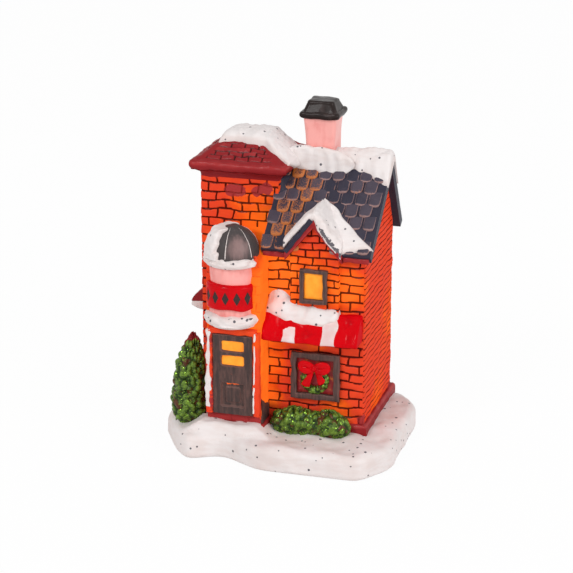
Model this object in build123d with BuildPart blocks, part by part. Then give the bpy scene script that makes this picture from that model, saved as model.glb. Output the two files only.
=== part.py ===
from build123d import *
import os
from math import atan2, cos, degrees, radians, sin, tan

# Ceramic village house, lit by a push-in coin-cell light in its base.
# Millimetres, +Z up, the front towards -Y, the origin under the middle of the base.

# Ground base
base_width = 76.0
base_depth = 60.0
base_height = 8.0
base_corner_round = 6.5
base_top_round = 3.5
base_foot_round = 2.0
side_share = 0.9
base_outline_shares = [
    (-1.0, 0.70), (-1.0, -0.28), (-0.66, -0.93), (-0.40, -0.75), (-0.05, -1.0),
    (0.80, -1.0), (1.0, -0.62), (1.0, 0.62), (0.80, 1.0), (-0.70, 1.0),
]
bank_width = 27.0
bank_depth = 10.0
bank_height = 3.2
bank_round = 2.4

# House walls
wall = 2.8
house_right = 26.8
house_front = -10.0
main_width = 30.4
main_depth = 37.0
front_wall_height = 56.7
back_wall_height = 57.0
back_run = 12.0
front_pitch = 39.5
tower_width = 25.6
tower_depth = 25.0
tower_height = 75.3
porch_width = 17.6
porch_reach = 8.0
porch_spring_height = 51.4
passage_height = 48.0
skirt_out = 1.3
skirt_height = 3.0
skirt_bite = 0.3
overrun = 1.0

# Main roof
roof_thick = 2.8
eave_out = 1.0
back_eave_out = 0.5
verge_out = 2.2
roof_tuck = 1.6
tile_width = 4.1
tile_length = 4.0
tile_clip = 1.1
tile_thick = 0.6
tile_pitch = 4.7
tile_row_pitch = 4.6
tile_margin = 0.5
ridge_snow_front = 6.0
ridge_snow_back = 8.0
ridge_snow_thick = 2.6
ridge_snow_lip = 1.2

# Tower roof
cornice_out = 3.0
cornice_back_out = 2.0
cornice_flare = 3.4
cornice_lip = 3.2
cornice_round = 1.2
hip_rise = 3.6
hip_inset = 8.2
tower_snow_thick = 3.8
snow_shoulder_share = 0.8

# Chimney
stack_width = 9.0
stack_depth = 8.4
stack_flare = 1.6
stack_from_tower = 5.7
stack_behind_ridge = 1.0
stack_top_height = 93.4
cap_out = 1.1
cap_rim = 2.2
cap_rim_round = 0.9
cap_rise = 3.2
cap_taper = 2.3
cap_round = 0.8

# Dormer
dormer_off_middle = 0.2
dormer_width = 15.2
dormer_reach = 1.8
dormer_pitch = 50.0
dormer_eave_out = 1.3
dormer_front_out = 1.8
dormer_roof_thick = 1.8
dormer_snow_thick = 2.6
dormer_snow_setback = 0.8
dormer_depth = 16.0
drift_peak = 19.5
drift_reach = 17.0
drift_foot = 2.8
drift_thick = 1.6

# Windows
frame_thick = 1.6
pane_thick = 0.6
upper_window_width = 8.7
upper_window_height = 11.0
upper_window_sill = 41.8
upper_frame_width = 1.4
shop_window_width = 15.6
shop_window_height = 15.2
shop_window_sill = 10.0
shop_frame_width = 2.0
wreath_drop = 0.9
wreath_radius = 3.4
wreath_round = 1.1
wreath_sink = 0.5
bow_lift = 4.2
bow_width = 8.8
bow_height = 4.2
bow_waist = 1.2
bow_drop = 5.6
bow_spread = 2.2
bow_tail_width = 1.8
bow_thick = 1.4

# Awning
awning_right_gap = 1.0
awning_sill = 30.2
awning_valance = 1.8
awning_height = 8.4
awning_reach = 7.4
awning_shelf = 2.0
awning_snow_thick = 2.4
awning_snow_reach = 4.4
awning_snow_lip = 0.9
awning_snow_fold_share = 0.75

# Door
door_width = 12.9
door_height = 25.4
door_sill = 6.3
door_thick = 1.4
door_stile = 2.7
door_top_rail = 2.0
door_foot_rail = 1.8
door_recess = 0.8
door_pane_height = 3.5
door_pane_gap = 1.2
door_panel_height = 7.8
surround_thick = 2.2

# Corner oriel
oriel_set_in = 3.0
oriel_shift = 0.8
drum_radius = 7.3
ledge_radius = 9.0
ledge_base = 34.4
ledge_thick = 4.2
drum_height = 15.0
sign_lift = 1.8
sign_height = 8.2
sign_thick = 1.2
rim_thick = 3.2
rim_round = 1.4
dome_radius = 8.0
dome_rise = 8.8
dome_shoulder_shares = (0.74, 0.7)
dome_tip = 0.6
dome_snow_thick = 1.2
dome_snow_past = 2.0
dome_snow_edge = (-1.0, 0.0, 0.35)

# Hood on the tower's left wall
hood_from_corner = 1.0
hood_width = 7.5
hood_out = 4.0
hood_sill = 33.4
hood_height = 4.2
hood_lip = 1.5
hood_lip_root = 3.0

# Planting
tree_past_tower = 0.2
tree_before_tower = 14.0
tree_radius = 6.2
tree_height = 29.4
tree_tiers = 5
tree_tier_share = 0.8
tree_fullness = 4.0
tree_tip_share = 0.12
tree_root = 4.0
shrub_start = 1.0
shrub_end = 2.4
shrub_reach = 3.2
shrub_radius = 4.6
shrub_lift = 3.2
shrub_place_shares = [0.0, 0.2, 0.4, 0.62, 0.82, 1.0]
shrub_size_shares = [0.84, 1.0, 0.94, 0.88, 1.0, 0.8]

# Light unit
light_from_tower = 5.6
light_recess = 0.4
light_gap = 0.3
cup_radius = 15.0
cup_wall = 1.2
cup_height = 12.4
flange_radius = 17.2
plate_thick = 1.6
cell_radius = 8.0
cell_thick = 3.2
well_shift = 2.3
well_wall = 0.9
lug_reach = 0.6
lug_thick = 0.8
lug_count = 3
lug_angle = 26.0
lug_start = 40.0
lug_play = 5.0
cover_thick = 2.0
cover_rim = 0.8
coin_slot_length = 11.0
coin_slot_width = 1.8
coin_slot_depth = 1.0
contact_thick = 0.3
contact_width = 3.0
contact_space = 1.6
board_thick = 1.2
board_gap = 0.5
led_radius = 2.5
led_rim = 0.4
led_rim_thick = 1.0
led_body = 5.0
led_leg = 0.5
led_leg_length = 2.6
led_leg_pitch = 2.54
switch_width = 3.6
switch_length = 8.0
switch_height = 3.6
switch_wall = 0.4
switch_travel = 2.4
knob_width = 1.8
knob_length = 2.6
slider_length = 3.8
slider_height = 1.4
pin_size = 0.6
pin_pitch = 2.5
screw_radius = 0.8
screw_head = 1.5
screw_head_thick = 0.8
screw_length = 6.0
screw_fit = 0.05
boss_wall = 1.0
boss_x = 5.2
boss_y = 11.2
ring_round = 0.6
ring_fit = 0.05

# Places worked out from the sizes
ground = base_height
main_left = house_right - main_width
main_mid = main_left + main_width / 2
house_back = house_front + main_depth
tower_left = main_left - tower_width
tower_front = house_back - tower_depth
tower_mid = (tower_left + tower_width / 2, tower_front + tower_depth / 2)
tower_top = ground + tower_height
porch_mid = main_left - porch_width / 2
porch_front = house_front - porch_reach
porch_spring = ground + porch_spring_height
front_wall_top = ground + front_wall_height
back_wall_top = ground + back_wall_height
ridge_run = main_depth - back_run
ridge_y = house_front + ridge_run
front_rise = tan(radians(front_pitch))
ridge_under = front_wall_top + ridge_run * front_rise
back_rise = (ridge_under - back_wall_top) / (house_back - ridge_y)
back_pitch = degrees(atan2(ridge_under - back_wall_top, house_back - ridge_y))
front_down = (-cos(radians(front_pitch)), -sin(radians(front_pitch)))
front_out = (-sin(radians(front_pitch)), cos(radians(front_pitch)))
back_down = (cos(radians(back_pitch)), -sin(radians(back_pitch)))
back_out = (sin(radians(back_pitch)), cos(radians(back_pitch)))
dormer_x = main_mid - dormer_off_middle
shop_window_x = main_mid
stack_x = main_left + stack_from_tower + stack_width / 2
tree_x = tower_left + tree_past_tower
tree_y = tower_front - tree_before_tower
shrub_run = main_width - shrub_start - shrub_end
light_x = main_left + light_from_tower
light_y = house_front + main_depth / 2
plate_bottom = light_recess
plate_top = plate_bottom + plate_thick
roof_left = main_left - roof_tuck
roof_right = house_right + verge_out
front_eave = (house_front - eave_out, front_wall_top - eave_out * front_rise)
back_eave = (house_back + back_eave_out, back_wall_top - back_eave_out * back_rise)


def step(point, direction, distance):
    """The point that lies a distance from another along a direction, both in one plane."""
    return (point[0] + direction[0] * distance, point[1] + direction[1] * distance)


front_eave_top = step(front_eave, front_out, roof_thick)
back_eave_top = step(back_eave, back_out, roof_thick)
ridge_top_y = (
    back_eave_top[1] - front_eave_top[1] + front_eave_top[0] * front_rise + back_eave_top[0] * back_rise
) / (front_rise + back_rise)
ridge_top = (ridge_top_y, front_eave_top[1] + (ridge_top_y - front_eave_top[0]) * front_rise)
front_slope_length = (ridge_top[0] - front_eave_top[0]) / cos(radians(front_pitch))
tile_rows = int((front_slope_length - ridge_snow_front + tile_length - tile_margin) / tile_row_pitch)
front_slope = Plane(
    origin=(roof_left, front_eave_top[0], front_eave_top[1]),
    x_dir=(1, 0, 0), z_dir=(0, front_out[0], front_out[1]),
)

os.makedirs("parts", exist_ok=True)


def save(builder, name):
    """Labels a finished piece and writes it as its own file."""
    builder.part.label = name
    export_step(builder.part, f"parts/{name}.step")


# Solid blocks that the walls are hollowed from, and that other pieces are fitted against
with BuildPart() as main_block:
    with BuildSketch(Plane.YZ.offset(main_left)):
        with BuildLine():
            Polyline(
                (house_front, ground), (house_back, ground), (house_back, back_wall_top),
                (ridge_y, ridge_under), (house_front, front_wall_top), close=True,
            )
        make_face()
    extrude(amount=main_width)

with BuildPart() as tower_block:
    with BuildSketch(Plane.XY.offset(ground)):
        with Locations(tower_mid):
            Rectangle(tower_width, tower_depth)
    extrude(amount=tower_height)


with BuildPart() as tower_column:
    add(tower_block.part)
    extrude(tower_column.faces().sort_by(Axis.Z)[-1], amount=tower_height)


def arch_outline(inset, foot):
    """Round-topped outline of the entrance bay on the front, drawn in from its faces by an inset."""
    half = porch_width / 2 - inset
    with Locations((porch_mid, (foot + porch_spring) / 2)):
        Rectangle(2 * half, porch_spring - foot)
    with Locations((porch_mid, porch_spring)):
        Circle(half)


with BuildPart() as porch_block:
    with BuildSketch(Plane.XZ.offset(-tower_front)):
        arch_outline(0, ground)
    extrude(amount=tower_front - porch_front)

# House walls: one hollow casting, open below and under the roofs
with BuildPart() as house_walls:
    add(main_block.part)
    add(tower_block.part)
    add(porch_block.part)
    with BuildSketch(Plane.XY.offset(ground)):
        with Locations(((main_left + house_right) / 2, (house_front + house_back) / 2)):
            Rectangle(main_width, main_depth)
        with Locations(tower_mid):
            Rectangle(tower_width, tower_depth)
        with Locations((porch_mid, (porch_front + tower_front) / 2)):
            Rectangle(porch_width, tower_front - porch_front)
        offset(amount=skirt_out)
    extrude(amount=skirt_height, taper=degrees(atan2(skirt_out + skirt_bite, skirt_height)))
    with BuildSketch(Plane.YZ.offset(main_left)):
        with BuildLine():
            Polyline(
                (house_front + wall, ground - overrun), (house_back - wall, ground - overrun),
                (house_back - wall, back_wall_top + wall * back_rise), (ridge_y, ridge_under),
                (house_front + wall, front_wall_top + wall * front_rise), close=True,
            )
        make_face()
    extrude(amount=main_width - wall, mode=Mode.SUBTRACT)
    with BuildSketch(Plane.XY.offset(ground - overrun)):
        with Locations(tower_mid):
            Rectangle(tower_width - 2 * wall, tower_depth - 2 * wall)
    extrude(amount=tower_height + 2 * overrun, mode=Mode.SUBTRACT)
    with BuildSketch(Plane.XZ.offset(-tower_front - wall - overrun)):
        arch_outline(wall, ground - overrun)
    extrude(amount=tower_front + wall + overrun - porch_front - wall, mode=Mode.SUBTRACT)
    with BuildSketch(Plane.XY.offset(ground - overrun)):
        with Locations((main_left - wall / 2, (house_front + house_back) / 2)):
            Rectangle(wall + 2 * overrun, main_depth - 2 * wall)
    extrude(amount=passage_height + overrun, mode=Mode.SUBTRACT)
    with BuildSketch(Plane.XY.offset(plate_top)):
        with Locations((light_x, light_y)):
            Circle(cup_radius + light_gap)
    extrude(amount=cup_height + light_gap, mode=Mode.SUBTRACT)
save(house_walls, "house_walls")

# Ground base: lobed slab of snow with a bank at the door and a stepped hole for the light
def round_limits(corners):
    """For each side of a closed outline, the largest radius whose two end arcs leave it some length."""
    sides = [Vector(*end) - Vector(*start) for start, end in zip(corners, corners[1:] + corners[:1])]
    turns = [before.get_angle(after) for before, after in zip(sides[-1:] + sides[:-1], sides)]
    slopes = [tan(radians(turn / 2)) for turn in turns]
    spans = zip(sides, slopes, slopes[1:] + slopes[:1])
    return [side.length / (first + last) * side_share for side, first, last in spans]


with BuildPart() as door_bank:
    with BuildSketch(Plane.XY.offset(ground - base_top_round)):
        with Locations((porch_mid - skirt_out, porch_front)):
            SlotOverall(bank_width, bank_depth)
    extrude(amount=base_top_round + bank_height)
    fillet(door_bank.faces().sort_by(Axis.Z)[-1].edges(), radius=bank_round)

base_corners = [(x * base_width / 2, y * base_depth / 2) for x, y in base_outline_shares]
corner_round = min(base_corner_round, *round_limits(base_corners))
with BuildPart() as ground_base:
    with BuildSketch():
        with BuildLine():
            FilletPolyline(*base_corners, radius=corner_round, close=True)
        make_face()
    extrude(amount=base_height)
    fillet(ground_base.faces().sort_by(Axis.Z)[-1].edges(), radius=base_top_round)
    fillet(ground_base.faces().sort_by(Axis.Z)[0].edges(), radius=base_foot_round)
    add(door_bank.part)
    add(porch_block.part, mode=Mode.SUBTRACT)
    add(house_walls.part, mode=Mode.SUBTRACT)
    with BuildSketch():
        with Locations((light_x, light_y)):
            Circle(cup_radius + light_gap)
    extrude(amount=base_height, mode=Mode.SUBTRACT)
    with BuildSketch():
        with Locations((light_x, light_y)):
            Circle(flange_radius + light_gap)
    extrude(amount=plate_top, mode=Mode.SUBTRACT)
save(ground_base, "ground_base")

# Main roof: a bent slab with rows of clipped shingles on the front slope
with BuildPart() as roof_slab:
    with BuildSketch(Plane.YZ.offset(roof_left)):
        with BuildLine():
            Polyline(
                front_eave, (ridge_y, ridge_under), back_eave, back_eave_top, ridge_top, front_eave_top,
                close=True,
            )
        make_face()
    extrude(amount=roof_right - roof_left)
    add(tower_column.part, mode=Mode.SUBTRACT)
    add(porch_block.part, mode=Mode.SUBTRACT)

with BuildPart() as slab_behind_front:
    add(roof_slab.part)
    split(bisect_by=Plane.XZ.offset(-house_front), keep=Keep.BOTTOM)

# Dormer: a gabled wall standing on the awning, its roof, and the snow on it with a drift to the right
dormer_front = house_front - dormer_reach
dormer_rise = tan(radians(dormer_pitch))
dormer_eave_half = dormer_width / 2 + dormer_eave_out
awning_top = ground + awning_sill + awning_height
gable_foot = front_wall_top
gable_peak = gable_foot + dormer_width / 2 * dormer_rise
roof_up = dormer_roof_thick / cos(radians(dormer_pitch))
snow_up = dormer_snow_thick / cos(radians(dormer_pitch))


def chevron(low, high):
    """Bent-strip outline over the dormer: two slopes between a lower and an upper peak height."""
    half = dormer_eave_half
    fall = half * dormer_rise
    Polygon(
        (dormer_x - half, low - fall), (dormer_x, low), (dormer_x + half, low - fall),
        (dormer_x + half, high - fall), (dormer_x, high), (dormer_x - half, high - fall), align=None,
    )


with BuildPart() as dormer_wall:
    with BuildSketch(Plane.XZ.offset(-dormer_front)):
        with BuildLine():
            Polyline(
                (dormer_x - dormer_width / 2, awning_top), (dormer_x + dormer_width / 2, awning_top),
                (dormer_x + dormer_width / 2, gable_foot), (dormer_x, gable_peak),
                (dormer_x - dormer_width / 2, gable_foot), close=True,
            )
        make_face()
    extrude(amount=-dormer_depth)
    add(main_block.part, mode=Mode.SUBTRACT)
    add(slab_behind_front.part, mode=Mode.SUBTRACT)
save(dormer_wall, "dormer_wall")

with BuildPart() as dormer_roof:
    with BuildSketch(Plane.XZ.offset(-dormer_front + dormer_front_out)):
        chevron(gable_peak, gable_peak + roof_up)
    extrude(amount=-dormer_depth)
    add(main_block.part, mode=Mode.SUBTRACT)
    add(slab_behind_front.part, mode=Mode.SUBTRACT)
save(dormer_roof, "dormer_roof")

with BuildPart() as dormer_snow:
    with BuildSketch(Plane.XZ.offset(-dormer_front + dormer_front_out - dormer_snow_setback)):
        chevron(gable_peak + roof_up, gable_peak + roof_up + snow_up)
    extrude(amount=-dormer_depth)
    with BuildSketch(front_slope):
        middle = dormer_x - roof_left
        Polygon(
            (middle, drift_peak), (middle + dormer_eave_half, 0), (middle + drift_reach, drift_foot),
            align=None,
        )
    extrude(amount=drift_thick)
    add(dormer_wall.part, mode=Mode.SUBTRACT)
    add(dormer_roof.part, mode=Mode.SUBTRACT)
    add(main_block.part, mode=Mode.SUBTRACT)
    add(slab_behind_front.part, mode=Mode.SUBTRACT)
save(dormer_snow, "dormer_snow")

with BuildPart() as main_roof:
    add(roof_slab.part)
    with BuildSketch(front_slope):
        for row in range(tile_rows):
            stagger = tile_pitch / 2 * (row % 2)
            count = int((roof_right - main_left - tile_margin - stagger) / tile_pitch)
            for column in range(count):
                left = roof_tuck + tile_margin + stagger + column * tile_pitch
                foot = tile_margin + row * tile_row_pitch
                Polygon(
                    (left + tile_clip, foot), (left + tile_width - tile_clip, foot),
                    (left + tile_width, foot + tile_clip), (left + tile_width, foot + tile_length),
                    (left, foot + tile_length), (left, foot + tile_clip), align=None,
                )
    extrude(amount=tile_thick)
    with BuildSketch(Plane.XZ.offset(-house_front)):
        with Locations((dormer_x, front_eave[1])):
            Rectangle(2 * dormer_eave_half, dormer_width)
    extrude(amount=dormer_depth, mode=Mode.SUBTRACT)
    add(dormer_wall.part, mode=Mode.SUBTRACT)
    add(dormer_roof.part, mode=Mode.SUBTRACT)
    add(dormer_snow.part, mode=Mode.SUBTRACT)
    add(tower_column.part, mode=Mode.SUBTRACT)
    add(porch_block.part, mode=Mode.SUBTRACT)
save(main_roof, "main_roof")

# Tower roof: flared cornice, rounded lip and a flat-topped hip
lip_mid = (tower_mid[0], (tower_front - cornice_out + house_back + cornice_back_out) / 2)
lip_size = (tower_width + 2 * cornice_out, tower_depth + cornice_out + cornice_back_out)
lip_bottom = tower_top + cornice_flare
lip_top = lip_bottom + cornice_lip
hip_top = lip_top + hip_rise
with BuildPart() as tower_roof:
    with BuildSketch(Plane.XY.offset(lip_bottom)):
        with Locations(lip_mid):
            Rectangle(*lip_size)
    extrude(amount=cornice_lip)
    fillet(tower_roof.edges(), radius=cornice_round)
    with BuildSketch(Plane.XY.offset(tower_top)):
        with Locations(tower_mid):
            Rectangle(tower_width, tower_depth)
    with BuildSketch(Plane.XY.offset(lip_bottom + cornice_round)):
        with Locations(lip_mid):
            Rectangle(*lip_size)
    loft()
    with BuildSketch(Plane.XY.offset(lip_top - cornice_round)):
        with Locations(lip_mid):
            Rectangle(*lip_size)
    with BuildSketch(Plane.XY.offset(hip_top)):
        with Locations(lip_mid):
            Rectangle(lip_size[0] - 2 * hip_inset, lip_size[1] - 2 * hip_inset)
    loft()
    add(main_block.part, mode=Mode.SUBTRACT)
    add(main_roof.part, mode=Mode.SUBTRACT)
save(tower_roof, "tower_roof")

with BuildPart() as tower_snow:
    with BuildSketch(Plane.XZ.offset(-lip_mid[1])):
        with BuildLine():
            left = lip_mid[0] - lip_size[0] / 2 + hip_inset
            right = lip_mid[0] + lip_size[0] / 2 - cornice_out
            Spline(
                (left, hip_top),
                (left + tower_snow_thick / 2, hip_top + tower_snow_thick * snow_shoulder_share),
                (lip_mid[0], hip_top + tower_snow_thick),
                (right - hip_inset, hip_top + tower_snow_thick * snow_shoulder_share),
                (right, lip_top + tower_snow_thick / 2),
            )
            Polyline(
                (right, lip_top + tower_snow_thick / 2), (right, lip_top), (left, lip_top), (left, hip_top),
            )
        make_face()
    extrude(amount=lip_size[1] / 2 - hip_inset, both=True)
    with BuildSketch(Plane.YZ.offset(left)):
        with BuildLine():
            front = lip_mid[1] - lip_size[1] / 2 + hip_inset
            back = lip_mid[1] + lip_size[1] / 2 - hip_inset
            crown = hip_top + tower_snow_thick
            Spline((front, hip_top), (lip_mid[1], crown), (back, hip_top), tangents=[(0, 1), (0, -1)])
            Polyline((back, hip_top), (back, lip_top), (front, lip_top), (front, hip_top))
        make_face()
    extrude(amount=right - left, mode=Mode.INTERSECT)
    add(tower_roof.part, mode=Mode.SUBTRACT)
    add(main_roof.part, mode=Mode.SUBTRACT)
save(tower_snow, "tower_snow")

# Chimney: flared stack astride the ridge and a rimmed cap
stack_mid = (stack_x, ridge_y + stack_behind_ridge)
stack_top = ground + stack_top_height
with BuildPart() as chimney_stack:
    with BuildSketch(Plane.XY.offset(front_wall_top)):
        with Locations(stack_mid):
            Rectangle(stack_width, stack_depth)
    with BuildSketch(Plane.XY.offset(ridge_top[1] + ridge_snow_thick)):
        with Locations(stack_mid):
            Rectangle(stack_width, stack_depth)
    with BuildSketch(Plane.XY.offset(stack_top)):
        with Locations(stack_mid):
            Rectangle(stack_width + stack_flare, stack_depth + stack_flare)
    loft(ruled=True)
    add(main_block.part, mode=Mode.SUBTRACT)
    add(main_roof.part, mode=Mode.SUBTRACT)
save(chimney_stack, "chimney_stack")

cap_size = (stack_width + stack_flare + 2 * cap_out, stack_depth + stack_flare + 2 * cap_out)
with BuildPart() as chimney_cap:
    with BuildSketch(Plane.XY.offset(stack_top)):
        with Locations(stack_mid):
            RectangleRounded(*cap_size, radius=cap_out)
    extrude(amount=cap_rim)
    fillet(chimney_cap.faces().sort_by(Axis.Z)[-1].edges(), radius=cap_rim_round)
    fillet(chimney_cap.faces().sort_by(Axis.Z)[0].edges(), radius=cap_rim_round)
    with BuildSketch(Plane.XY.offset(stack_top + cap_rim - cap_rim_round)):
        with Locations(stack_mid):
            Rectangle(cap_size[0] - 2 * cap_rim_round, cap_size[1] - 2 * cap_rim_round)
    with BuildSketch(Plane.XY.offset(stack_top + cap_rim + cap_rise)):
        with Locations(stack_mid):
            Rectangle(cap_size[0] - 2 * cap_taper, cap_size[1] - 2 * cap_taper)
    loft()
    fillet(chimney_cap.faces().sort_by(Axis.Z)[-1].edges(), radius=cap_round)
save(chimney_cap, "chimney_cap")

# Snow along the main ridge
snow_front = step(ridge_top, front_down, ridge_snow_front)
snow_back = step(ridge_top, back_down, ridge_snow_back)
with BuildPart() as roof_snow:
    with BuildSketch(Plane.YZ.offset(main_left)):
        with BuildLine():
            front_lip = step(snow_front, front_out, ridge_snow_lip)
            back_lip = step(snow_back, back_out, ridge_snow_lip)
            crown = (ridge_top[0], ridge_top[1] + ridge_snow_thick)
            Spline(front_lip, crown, back_lip)
            Polyline(back_lip, snow_back, ridge_top, snow_front, front_lip)
        make_face()
    extrude(amount=roof_right - main_left)
    add(main_roof.part, mode=Mode.SUBTRACT)
    add(tower_roof.part, mode=Mode.SUBTRACT)
    add(tower_snow.part, mode=Mode.SUBTRACT)
    add(chimney_stack.part, mode=Mode.SUBTRACT)
save(roof_snow, "roof_snow")


# Windows: each a flat frame standing out from a wall face, and a thin pane that fills it
dormer_window = (
    dormer_x, upper_window_sill, upper_window_width, upper_window_height, upper_frame_width, dormer_front,
)
shop_window = (
    shop_window_x, shop_window_sill, shop_window_width, shop_window_height, shop_frame_width, house_front,
)
for name, window in (("dormer_window", dormer_window), ("shop_window", shop_window)):
    window_x, sill, width, height, border, face_y = window
    window_mid = (window_x, ground + sill + height / 2)
    with BuildPart() as window_frame:
        with BuildSketch(Plane.XZ.offset(-face_y)):
            with Locations(window_mid):
                Rectangle(width, height)
                Rectangle(width - 2 * border, height - 2 * border, mode=Mode.SUBTRACT)
        extrude(amount=frame_thick)
    save(window_frame, f"{name}_frame")

    with BuildPart() as window_pane:
        with BuildSketch(Plane.XZ.offset(-face_y)):
            with Locations(window_mid):
                Rectangle(width - 2 * border, height - 2 * border)
        extrude(amount=pane_thick)
    save(window_pane, f"{name}_pane")

# Wreath and bow on the shop window
wreath_z = ground + shop_window_sill + shop_window_height / 2 - wreath_drop
pane_front = house_front - pane_thick
with BuildPart() as wreath:
    with BuildSketch(Plane.YZ.offset(shop_window_x)):
        with Locations((pane_front - wreath_round + wreath_sink, wreath_z + wreath_radius)):
            Circle(wreath_round)
    revolve(axis=Axis((shop_window_x, 0, wreath_z), (0, 1, 0)))
    split(bisect_by=Plane.XZ.offset(-pane_front), keep=Keep.TOP)
save(wreath, "wreath")

with BuildPart() as bow:
    with BuildSketch(Plane.XZ.offset(-pane_front)):
        with Locations((shop_window_x, wreath_z + bow_lift)):
            Polygon(
                (-bow_width / 2, -bow_height / 2), (0, -bow_waist / 2), (bow_width / 2, -bow_height / 2),
                (bow_width / 2, bow_height / 2), (0, bow_waist / 2), (-bow_width / 2, bow_height / 2),
                align=None,
            )
            Polygon(
                (0, 0), (-bow_spread - bow_tail_width / 2, -bow_drop),
                (-bow_spread + bow_tail_width / 2, -bow_drop), (0, -bow_waist),
                (bow_spread - bow_tail_width / 2, -bow_drop), (bow_spread + bow_tail_width / 2, -bow_drop),
                align=None,
            )
            Circle(bow_waist)
    extrude(amount=2 * wreath_round - wreath_sink + bow_thick / 2)
    add(wreath.part, mode=Mode.SUBTRACT)
save(bow, "bow")

# Awning over the shop window
awning_left = main_left
awning_right = house_right - awning_right_gap
awning_bottom = ground + awning_sill
awning_front = house_front - awning_reach
with BuildPart() as awning:
    with BuildSketch(Plane.YZ.offset(awning_left)):
        with BuildLine():
            Polyline(
                (house_front, awning_bottom), (house_front, awning_top),
                (house_front - awning_shelf, awning_top), (awning_front, awning_bottom + awning_valance),
                (awning_front, awning_bottom), close=True,
            )
        make_face()
    extrude(amount=awning_right - awning_left)
save(awning, "awning")

with BuildPart() as awning_snow:
    with BuildSketch(Plane.YZ.offset(awning_left)):
        with BuildLine():
            fall = (awning_height - awning_valance) / (awning_reach - awning_shelf)
            lip_y = house_front - awning_snow_reach
            lip_z = awning_top - (awning_snow_reach - awning_shelf) * fall
            Spline(
                (house_front, awning_top + awning_snow_thick),
                (house_front - awning_shelf, awning_top + awning_snow_thick * awning_snow_fold_share),
                (lip_y - awning_snow_lip, lip_z),
            )
            Polyline(
                (lip_y - awning_snow_lip, lip_z), (lip_y, lip_z), (house_front - awning_shelf, awning_top),
                (house_front, awning_top), (house_front, awning_top + awning_snow_thick),
            )
        make_face()
    extrude(amount=awning_right - awning_left)
    add(awning.part, mode=Mode.SUBTRACT)
    add(dormer_wall.part, mode=Mode.SUBTRACT)
save(awning_snow, "awning_snow")

# Door, its panes and the snowy surround
door_bottom = ground + door_sill
pane_width = door_width - 2 * door_stile
upper_pane_z = door_bottom + door_height - door_top_rail - door_pane_height / 2
lower_pane_z = upper_pane_z - door_pane_height - door_pane_gap
panel_z = door_bottom + door_foot_rail + door_panel_height / 2
with BuildPart() as door:
    with BuildSketch(Plane.XZ.offset(-porch_front)):
        with Locations((porch_mid, door_bottom + door_height / 2)):
            Rectangle(door_width, door_height)
    extrude(amount=door_thick)
    with BuildSketch(Plane.XZ.offset(-porch_front + door_thick)):
        with Locations((porch_mid, upper_pane_z), (porch_mid, lower_pane_z)):
            Rectangle(pane_width, door_pane_height)
        with Locations((porch_mid, panel_z)):
            Rectangle(pane_width, door_panel_height)
    extrude(amount=-door_recess, mode=Mode.SUBTRACT)
save(door, "door")

with BuildPart() as door_panes:
    with BuildSketch(Plane.XZ.offset(-porch_front + door_thick - door_recess)):
        with Locations((porch_mid, upper_pane_z), (porch_mid, lower_pane_z)):
            Rectangle(pane_width, door_pane_height)
    extrude(amount=door_recess / 2)
save(door_panes, "door_panes")

ledge_bottom = ground + ledge_base
with BuildPart() as door_surround:
    with BuildSketch(Plane.XZ.offset(-porch_front)):
        with Locations((porch_mid, (door_bottom + ledge_bottom) / 2)):
            Rectangle(porch_width, ledge_bottom - door_bottom)
        with Locations((porch_mid, door_bottom + door_height / 2)):
            Rectangle(door_width, door_height, mode=Mode.SUBTRACT)
    extrude(amount=surround_thick)
save(door_surround, "door_surround")

# Corner oriel over the door, round about an upright axis just inside the bay's front
oriel_x = porch_mid - oriel_shift
oriel_y = porch_front + oriel_set_in
oriel_axis = Axis((oriel_x, oriel_y, 0), (0, 0, 1))
oriel_plane = Plane(origin=(oriel_x, oriel_y, 0), x_dir=(0, 1, 0), z_dir=(1, 0, 0))
ledge_top = ledge_bottom + ledge_thick
drum_top = ledge_top + drum_height
rim_top = drum_top + rim_thick


bay_front = Plane.XZ.offset(-porch_front)
for name, bottom, top in (("oriel_ledge", ledge_bottom, ledge_top), ("oriel_rim", drum_top, rim_top)):
    with BuildPart() as snow_disc:
        with BuildSketch(Plane.XY.offset(bottom)):
            with Locations((oriel_x, oriel_y)):
                Circle(ledge_radius)
        extrude(amount=top - bottom)
        fillet(snow_disc.edges(), radius=rim_round)
        split(bisect_by=bay_front, keep=Keep.TOP)
    save(snow_disc, name)

with BuildPart() as oriel_drum:
    with BuildSketch(Plane.XY.offset(ledge_top)):
        with Locations((oriel_x, oriel_y)):
            Circle(drum_radius)
    extrude(amount=drum_height)
    split(bisect_by=bay_front, keep=Keep.TOP)
save(oriel_drum, "oriel_drum")

with BuildPart() as sign_band:
    with BuildSketch(Plane.XY.offset(ledge_top + sign_lift)):
        with Locations((oriel_x, oriel_y)):
            Circle(drum_radius + sign_thick)
            Circle(drum_radius, mode=Mode.SUBTRACT)
    extrude(amount=sign_height)
    split(bisect_by=bay_front, keep=Keep.TOP)
save(sign_band, "sign_band")


def dome_points(thick):
    """Foot, shoulder and tip of the dome's upright half outline, or of a layer laid on it."""
    radius, rise = dome_radius + thick, dome_rise + thick
    return (
        (radius, rim_top),
        (radius * dome_shoulder_shares[0], rim_top + rise * dome_shoulder_shares[1]),
        (dome_tip, rim_top + rise),
    )


with BuildPart() as oriel_dome:
    with BuildSketch(oriel_plane):
        with BuildLine():
            foot, shoulder, tip = dome_points(0)
            Spline(foot, shoulder, tip, tangents=[(0, 1), (-1, 0)])
            Polyline(tip, (0, tip[1]), (0, rim_top), foot)
        make_face()
    revolve(axis=oriel_axis)
    add(porch_block.part, mode=Mode.SUBTRACT)
save(oriel_dome, "oriel_dome")

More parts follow.
